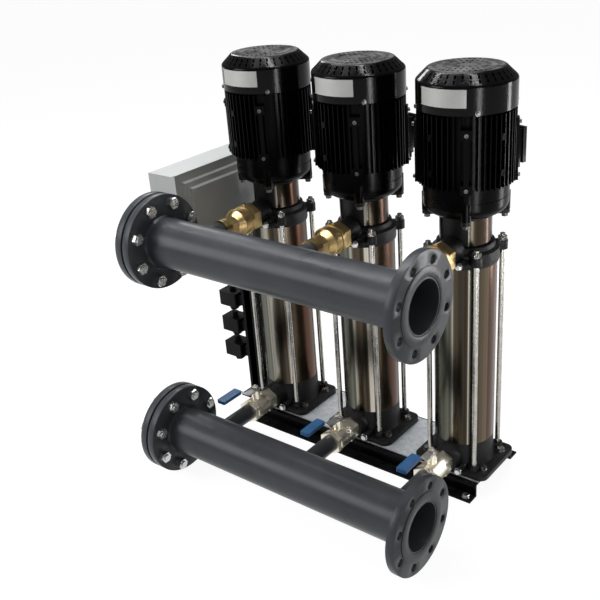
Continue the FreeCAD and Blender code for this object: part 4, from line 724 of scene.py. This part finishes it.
class PUMPSET_OT_panel(bpy.types.Operator):
    """Finish the control panel, its stand, its switchgear and the switch boxes."""
    bl_idname = "pumpset.panel"
    bl_label = "Control Panel"

    def execute(self, context):
        finish = context.scene.pumpset_finish
        powder = powder_material("panel_powder_coat", finish.panel)
        finish_node("panel_box", powder)
        finish_node("panel_door", powder)
        finish_node("door_lock", moulded_material("lock_plastic", (0.02, 0.02, 0.02)))
        finish_node("panel_gear", moulded_material("switchgear_plastic", (0.4, 0.4, 0.39)))
        finish_node("panel_stand", enamel_material("stand_enamel", scaled(finish.enamel, 1.5), 0.1))
        switches = moulded_material("switch_plastic", (0.004, 0.004, 0.0045), specular=0.1)
        finish_node("pressure_switches", switches)
        return {"FINISHED"}


class PUMPSET_OT_rating_plates(bpy.types.Operator):
    """Add a bare rating plate with its rivets to each cowl, on the manifold side."""
    bl_idname = "pumpset.rating_plates"
    bl_label = "Rating Plates"

    def execute(self, context):
        sizes = context.scene.pumpset_fittings
        rim = plain_metal_material("plate_aluminium", (0.62, 0.62, 0.6), (0.38, 0.5), 500.0, 0.92, 0.4)
        field = plain_metal_material("plate_field", (0.46, 0.46, 0.44), (0.42, 0.55), 500.0, 0.9, 0.4)
        for side in SIDES:
            low, high, middle = box_of("fan_cowl_" + side)
            radius = (high.x - low.x) / 2 + 0.0004
            foot = Vector((middle.x, 0, low.z + sizes.plate_lift))
            width = sizes.plate_width / radius

            def fill(work):
                start = Matrix.Rotation(-width / 2, 4, "Z") @ Vector((0, -radius, 0)) + foot
                line = [work.verts.new(start), work.verts.new(start + Vector((0, 0, sizes.plate_height)))]
                edge = work.edges.new(line)
                bmesh.ops.spin(work, geom=line + [edge], cent=(middle.x, 0, 0), axis=(0, 0, 1), angle=width,
                               steps=24)
                bmesh.ops.inset_region(work, faces=work.faces[:], thickness=sizes.plate_rim,
                                       use_even_offset=True)
                inner = [face for face in work.faces if all(len(edge.link_faces) == 2 for edge in face.edges)]
                for face in inner:
                    face.material_index = 1
                bmesh.ops.solidify(work, geom=work.faces[:], thickness=-sizes.plate_thickness)

            plate = add_piece("rating_plate_" + side, fill, rim)
            plate.data.materials.append(field)

            def fill_rivets(work):
                for across in (-1, 1):
                    for height in (sizes.rivet_inset, sizes.plate_height - sizes.rivet_inset):
                        turn = Matrix.Rotation(across * (width / 2 - sizes.rivet_inset / radius), 3, "Z")
                        out = turn @ Vector((0, -1, 0))
                        place = foot + Vector((0, 0, height)) + out * (radius + sizes.plate_thickness)
                        add_disc(work, place, out, 0.0011, 0.0006, 16)

            add_piece("plate_rivets_" + side, fill_rivets, rim)
        return {"FINISHED"}


class PUMPSET_OT_motor_screws(bpy.types.Operator):
    """Add the motors' screws: round the cowls, on the lugs, under the stools' ears and on the cable boxes."""
    bl_idname = "pumpset.motor_screws"
    bl_label = "Motor Screws"

    def execute(self, context):
        sizes = context.scene.pumpset_fittings
        black = plain_metal_material("blackened_steel", (0.17, 0.17, 0.17), (0.3, 0.45))
        for side in SIDES:
            axis_x = pump_axis(side)
            cowl_low, cowl_high, _ = box_of("fan_cowl_" + side)
            cowl_radius = (cowl_high.x - cowl_low.x) / 2
            motor_top = cowl_low.z
            motor_foot = box_of("motor_frame_" + side)[0].z
            box_top = box_of("terminal_box_" + side)[1].z

            def outwards(quarter, offset=0.0):
                turn = sizes.motor_turn + math.radians(45 + offset) + quarter * math.pi / 2
                return Vector((math.cos(turn), math.sin(turn), 0))

            def fill_cowl_screws(work):
                for quarter in range(4):
                    out = outwards(quarter, 12)
                    place = Vector((axis_x, 0, motor_top + 0.0042)) + out * cowl_radius
                    add_pan_screw(work, place, out, sizes.screw_radius)

            def fill_lug_screws(work):
                for quarter in range(4):
                    out = outwards(quarter)
                    for height in (motor_top - sizes.lug_drop, motor_foot + sizes.lug_lift):
                        place = Vector((axis_x, 0, height)) + out * (cowl_radius + 0.003)
                        add_socket_screw(work, place, out, sizes.screw_radius)

            def fill_stool_bolts(work):
                for quarter in range(4):
                    out = outwards(quarter) * sizes.stool_bolt_circle
                    place = Vector((axis_x, 0, motor_foot - sizes.stool_ear)) + out
                    add_disc(work, place, (0, 0, -1), 0.009, 0.0015)
                    add_hexagon(work, place - Vector((0, 0, 0.0015)), (0, 0, -1), 0.013, 0.007)

            def fill_lid_screws(work):
                out = outwards(0, 45)
                along = Vector((out.y, -out.x, 0)) * sizes.lid_screw_half_width
                for across in (-1, 1):
                    for drop in sizes.lid_screw_drops:
                        level = Vector((axis_x, 0, box_top - drop))
                        place = level + out * (cowl_radius + sizes.lid_screw_reach) + along * across
                        add_pan_screw(work, place, out, sizes.screw_radius * 0.8)

            for kind, fill in (("cowl_screws_", fill_cowl_screws), ("lug_screws_", fill_lug_screws),
                               ("stool_bolts_", fill_stool_bolts), ("lid_screws_", fill_lid_screws)):
                add_piece(kind + side, fill, black)
        return {"FINISHED"}


class PUMPSET_OT_weld_beads(bpy.types.Operator):
    """Add the weld beads where the branches leave the manifolds' bosses."""
    bl_idname = "pumpset.weld_beads"
    bl_label = "Weld Beads"

    def execute(self, context):
        sizes = context.scene.pumpset_fittings
        paint = bpy.data.materials["manifold_paint"]
        mounts = {mount["name"]: mount for mount in frame["record"]["mounts"]}
        for manifold, fitting, mount in (("discharge", "check_valve_", "discharge_flange"),
                                         ("suction", "suction_valve_", "suction_flange")):
            axis_y = mounts[mount]["pos_m"][1]

            def fill(work):
                for side in SIDES:
                    low, _, middle = box_of(fitting + side)
                    height = middle.z if fitting == "check_valve_" else low.z + sizes.valve_axis
                    centre = Vector((pump_axis(side), axis_y + sizes.boss_reach, height))
                    add_bead(work, centre, sizes.branch_radius, sizes.bead_radius)

            add_piece(manifold + "_weld_beads", fill, paint)
        return {"FINISHED"}


class PUMPSET_OT_small_fittings(bpy.types.Operator):
    """Add the anchor bolts and the vent and drain plugs."""
    bl_idname = "pumpset.small_fittings"
    bl_label = "Small Fittings"

    def execute(self, context):
        sizes = context.scene.pumpset_fittings
        zinc = bpy.data.materials["zinc_plate"]
        mounts = {mount["name"]: mount for mount in frame["record"]["mounts"]}
        anchors = mounts["base_anchor_holes"]["dims"]
        half_x, half_y = anchors["spacing_x_mm"] / 2000, anchors["spacing_y_mm"] / 2000

        def fill_anchors(work):
            for sx, sy in CORNERS:
                foot = Vector((sx * half_x, sy * half_y, sizes.sheet_thickness))
                head = foot + Vector((0, 0, sizes.anchor_washer))
                add_disc(work, foot, (0, 0, 1), sizes.anchor_flats * 0.62, sizes.anchor_washer)
                add_hexagon(work, head, (0, 0, 1), sizes.anchor_flats, 0.0055)

        add_piece("anchor_bolts", fill_anchors, zinc)

        def fill_plugs(work):
            for side in SIDES:
                for node, lift in zip(("pump_base_", "pump_head_"), sizes.plug_lifts):
                    foot = box_of(node + side)[0].z
                    boss = Vector((pump_axis(side) + sizes.plug_place[0], sizes.plug_place[1], foot + lift))
                    add_disc(work, boss, (0, -1, 0), sizes.plug_flats * 0.66, 0.002)
                    add_hexagon(work, boss + Vector((0, -0.002, 0)), (0, -1, 0), sizes.plug_flats, 0.006)

        add_piece("vent_and_drain_plugs", fill_plugs, zinc)
        return {"FINISHED"}


class PUMPSET_OT_stage(bpy.types.Operator):
    """Set up the floor, the lights, the world and the camera."""
    bl_idname = "pumpset.stage"
    bl_label = "Stage"

    def execute(self, context):
        scene = context.scene
        scene.view_settings.view_transform = "Standard"
        add_floor()
        add_lights()
        add_world()
        add_camera(scene.pumpset_stage)
        return {"FINISHED"}


def add_floor():
    """Pale floor that shows as white to the camera and keeps the object's shadow."""
    material = bpy.data.materials.new("floor_white")
    material.use_nodes = True
    tree = material.node_tree
    tree.nodes.clear()
    diffuse = put_node(tree, "ShaderNodeBsdfDiffuse", {"Color": (0.22, 0.22, 0.22, 1)})
    path = put_node(tree, "ShaderNodeLightPath")
    mirrored = math_node(tree, "MAXIMUM", path.outputs["Is Glossy Ray"], path.outputs["Is Transmission Ray"])
    seen = math_node(tree, "MAXIMUM", path.outputs["Is Camera Ray"], mirrored)
    strength = math_node(tree, "MULTIPLY", seen, 0.93)
    glow = put_node(tree, "ShaderNodeEmission", {"Color": (1, 1, 1, 1), "Strength": strength})
    both = put_node(tree, "ShaderNodeAddShader")
    tree.links.new(diffuse.outputs[0], both.inputs[0])
    tree.links.new(glow.outputs[0], both.inputs[1])
    put_node(tree, "ShaderNodeOutputMaterial", {"Surface": both.outputs[0]})
    mesh = bpy.data.meshes.new("floor")
    work = bmesh.new()
    bmesh.ops.create_grid(work, x_segments=4, y_segments=4, size=14)
    work.to_mesh(mesh)
    work.free()
    floor = bpy.data.objects.new("floor", mesh)
    bpy.context.scene.collection.objects.link(floor)
    floor.data.materials.append(material)


def add_lights():
    """Soft overhead light, a fill from each side, and strips that show only in the gloss of the finishes."""
    aim = Vector((0, -0.1, 0.5))
    lamps = (  # name, place, width, height, power
        ("overhead", (-0.6, 0.5, 3.2), 2.2, 2.2, 54.0),
        ("left_fill", (-2.0, -2.6, 1.9), 1.6, 1.6, 52.0),
        ("right_fill", (2.9, -0.9, 1.6), 1.4, 1.4, 1.5),
        ("rim", (-2.2, 1.35, 1.95), 0.5, 0.6, 9.0),
        ("strip_top", (-0.2, -0.1, 2.6), 2.6, 0.1, 42.0),
        ("strip_front", (1.43, -0.78, 0.55), 0.2, 1.1, 14.0),
        ("strip_side", (1.28, 0.97, 0.55), 0.2, 1.1, 14.0),
    )
    for name, place, width, height, power in lamps:
        light = bpy.data.lights.new(name, "AREA")
        light.shape = "RECTANGLE"
        light.size = width
        light.size_y = height
        light.energy = power
        lamp = bpy.data.objects.new(name, light)
        lamp.location = place
        direction = aim - Vector(place)
        if name in ("strip_front", "strip_side"):
            direction.z = 0
        if name != "strip_top":
            lamp.rotation_euler = direction.to_track_quat("-Z", "Y").to_euler()
        lamp.visible_diffuse = name in ("overhead", "left_fill", "right_fill")
        lamp.visible_camera = False
        bpy.context.scene.collection.objects.link(lamp)


def add_world():
    """White to the camera, and soft light for everything else."""
    world = bpy.data.worlds.new("studio")
    bpy.context.scene.world = world
    world.use_nodes = True
    tree = world.node_tree
    tree.nodes.clear()
    path = put_node(tree, "ShaderNodeLightPath")
    seen = math_node(tree, "MAXIMUM", path.outputs["Is Camera Ray"], path.outputs["Is Transmission Ray"])
    direction = put_node(tree, "ShaderNodeTexCoord").outputs["Generated"]
    upward = put_node(tree, "ShaderNodeSeparateXYZ", {"Vector": direction}).outputs["Z"]
    room = colour_ramp(tree, upward, [
        (0.0, (0.35, 0.34, 0.32)), (0.35, (0.5, 0.5, 0.52)), (0.8, (0.75, 0.77, 0.8))])
    shown = mix_colours(tree, seen, room, (1.0, 1.0, 1.0))
    strength = put_node(tree, "ShaderNodeMapRange", {"Value": seen, "To Min": 0.3, "To Max": 1.0}).outputs[0]
    background = put_node(tree, "ShaderNodeBackground", {"Color": shown, "Strength": strength})
    put_node(tree, "ShaderNodeOutputWorld", {"Surface": background.outputs[0]})


def add_camera(stage):
    """Camera at the photograph's place and angle."""
    data = bpy.data.cameras.new("camera")
    data.sensor_width = 36
    data.lens = stage.focal_length
    data.shift_x = stage.sideways_shift
    data.clip_end = 60
    camera = bpy.data.objects.new("camera", data)
    turn, dip, roll = stage.camera_turn, stage.camera_dip, stage.camera_roll
    ahead = Vector((-math.sin(turn) * math.cos(dip), math.cos(turn) * math.cos(dip), -math.sin(dip)))
    right = Vector((math.cos(turn), math.sin(turn), 0))
    up = right.cross(ahead)
    rolled_right = math.cos(roll) * right + math.sin(roll) * up
    rolled_up = math.cos(roll) * up - math.sin(roll) * right
    columns = Matrix((rolled_right, rolled_up, -ahead)).transposed().to_4x4()
    camera.matrix_world = Matrix.Translation(Vector(stage.camera_place)) @ columns
    bpy.context.scene.collection.objects.link(camera)
    bpy.context.scene.camera = camera


STEPS = (PUMPSET_OT_motors, PUMPSET_OT_steel, PUMPSET_OT_manifolds, PUMPSET_OT_base, PUMPSET_OT_panel,
         PUMPSET_OT_rating_plates, PUMPSET_OT_motor_screws, PUMPSET_OT_weld_beads, PUMPSET_OT_small_fittings,
         PUMPSET_OT_stage)
SETTINGS = {"pumpset_finish": PUMPSET_PG_finish, "pumpset_fittings": PUMPSET_PG_fittings,
            "pumpset_stage": PUMPSET_PG_stage}


class PUMPSET_PT_sidebar(bpy.types.Panel):
    """Lists the steps and their settings."""
    bl_idname = "PUMPSET_PT_sidebar"
    bl_label = "Booster Pump Set"
    bl_space_type = "VIEW_3D"
    bl_region_type = "UI"
    bl_category = "Pump Set"

    def draw(self, context):
        for step in STEPS:
            self.layout.operator(step.bl_idname)
        for name, group in SETTINGS.items():
            settings = getattr(context.scene, name)
            column = self.layout.column(heading=group.__doc__)
            for key in group.__annotations__:
                column.prop(settings, key)


def register():
    for group in SETTINGS.values():
        bpy.utils.register_class(group)
    for name, group in SETTINGS.items():
        setattr(bpy.types.Scene, name, bpy.props.PointerProperty(type=group))
    for kind in (*STEPS, PUMPSET_PT_sidebar):
        bpy.utils.register_class(kind)


def unregister():
    for kind in (PUMPSET_PT_sidebar, *reversed(STEPS)):
        bpy.utils.unregister_class(kind)
    for name in SETTINGS:
        delattr(bpy.types.Scene, name)
    for group in SETTINGS.values():
        bpy.utils.unregister_class(group)


def main():
    register()
    bpy.ops.pumpset.motors()
    bpy.ops.pumpset.steel()
    bpy.ops.pumpset.manifolds()
    bpy.ops.pumpset.base()
    bpy.ops.pumpset.panel()
    bpy.ops.pumpset.rating_plates()
    bpy.ops.pumpset.motor_screws()
    bpy.ops.pumpset.weld_beads()
    bpy.ops.pumpset.small_fittings()
    bpy.ops.pumpset.stage()


if __name__ == "__main__":
    main()
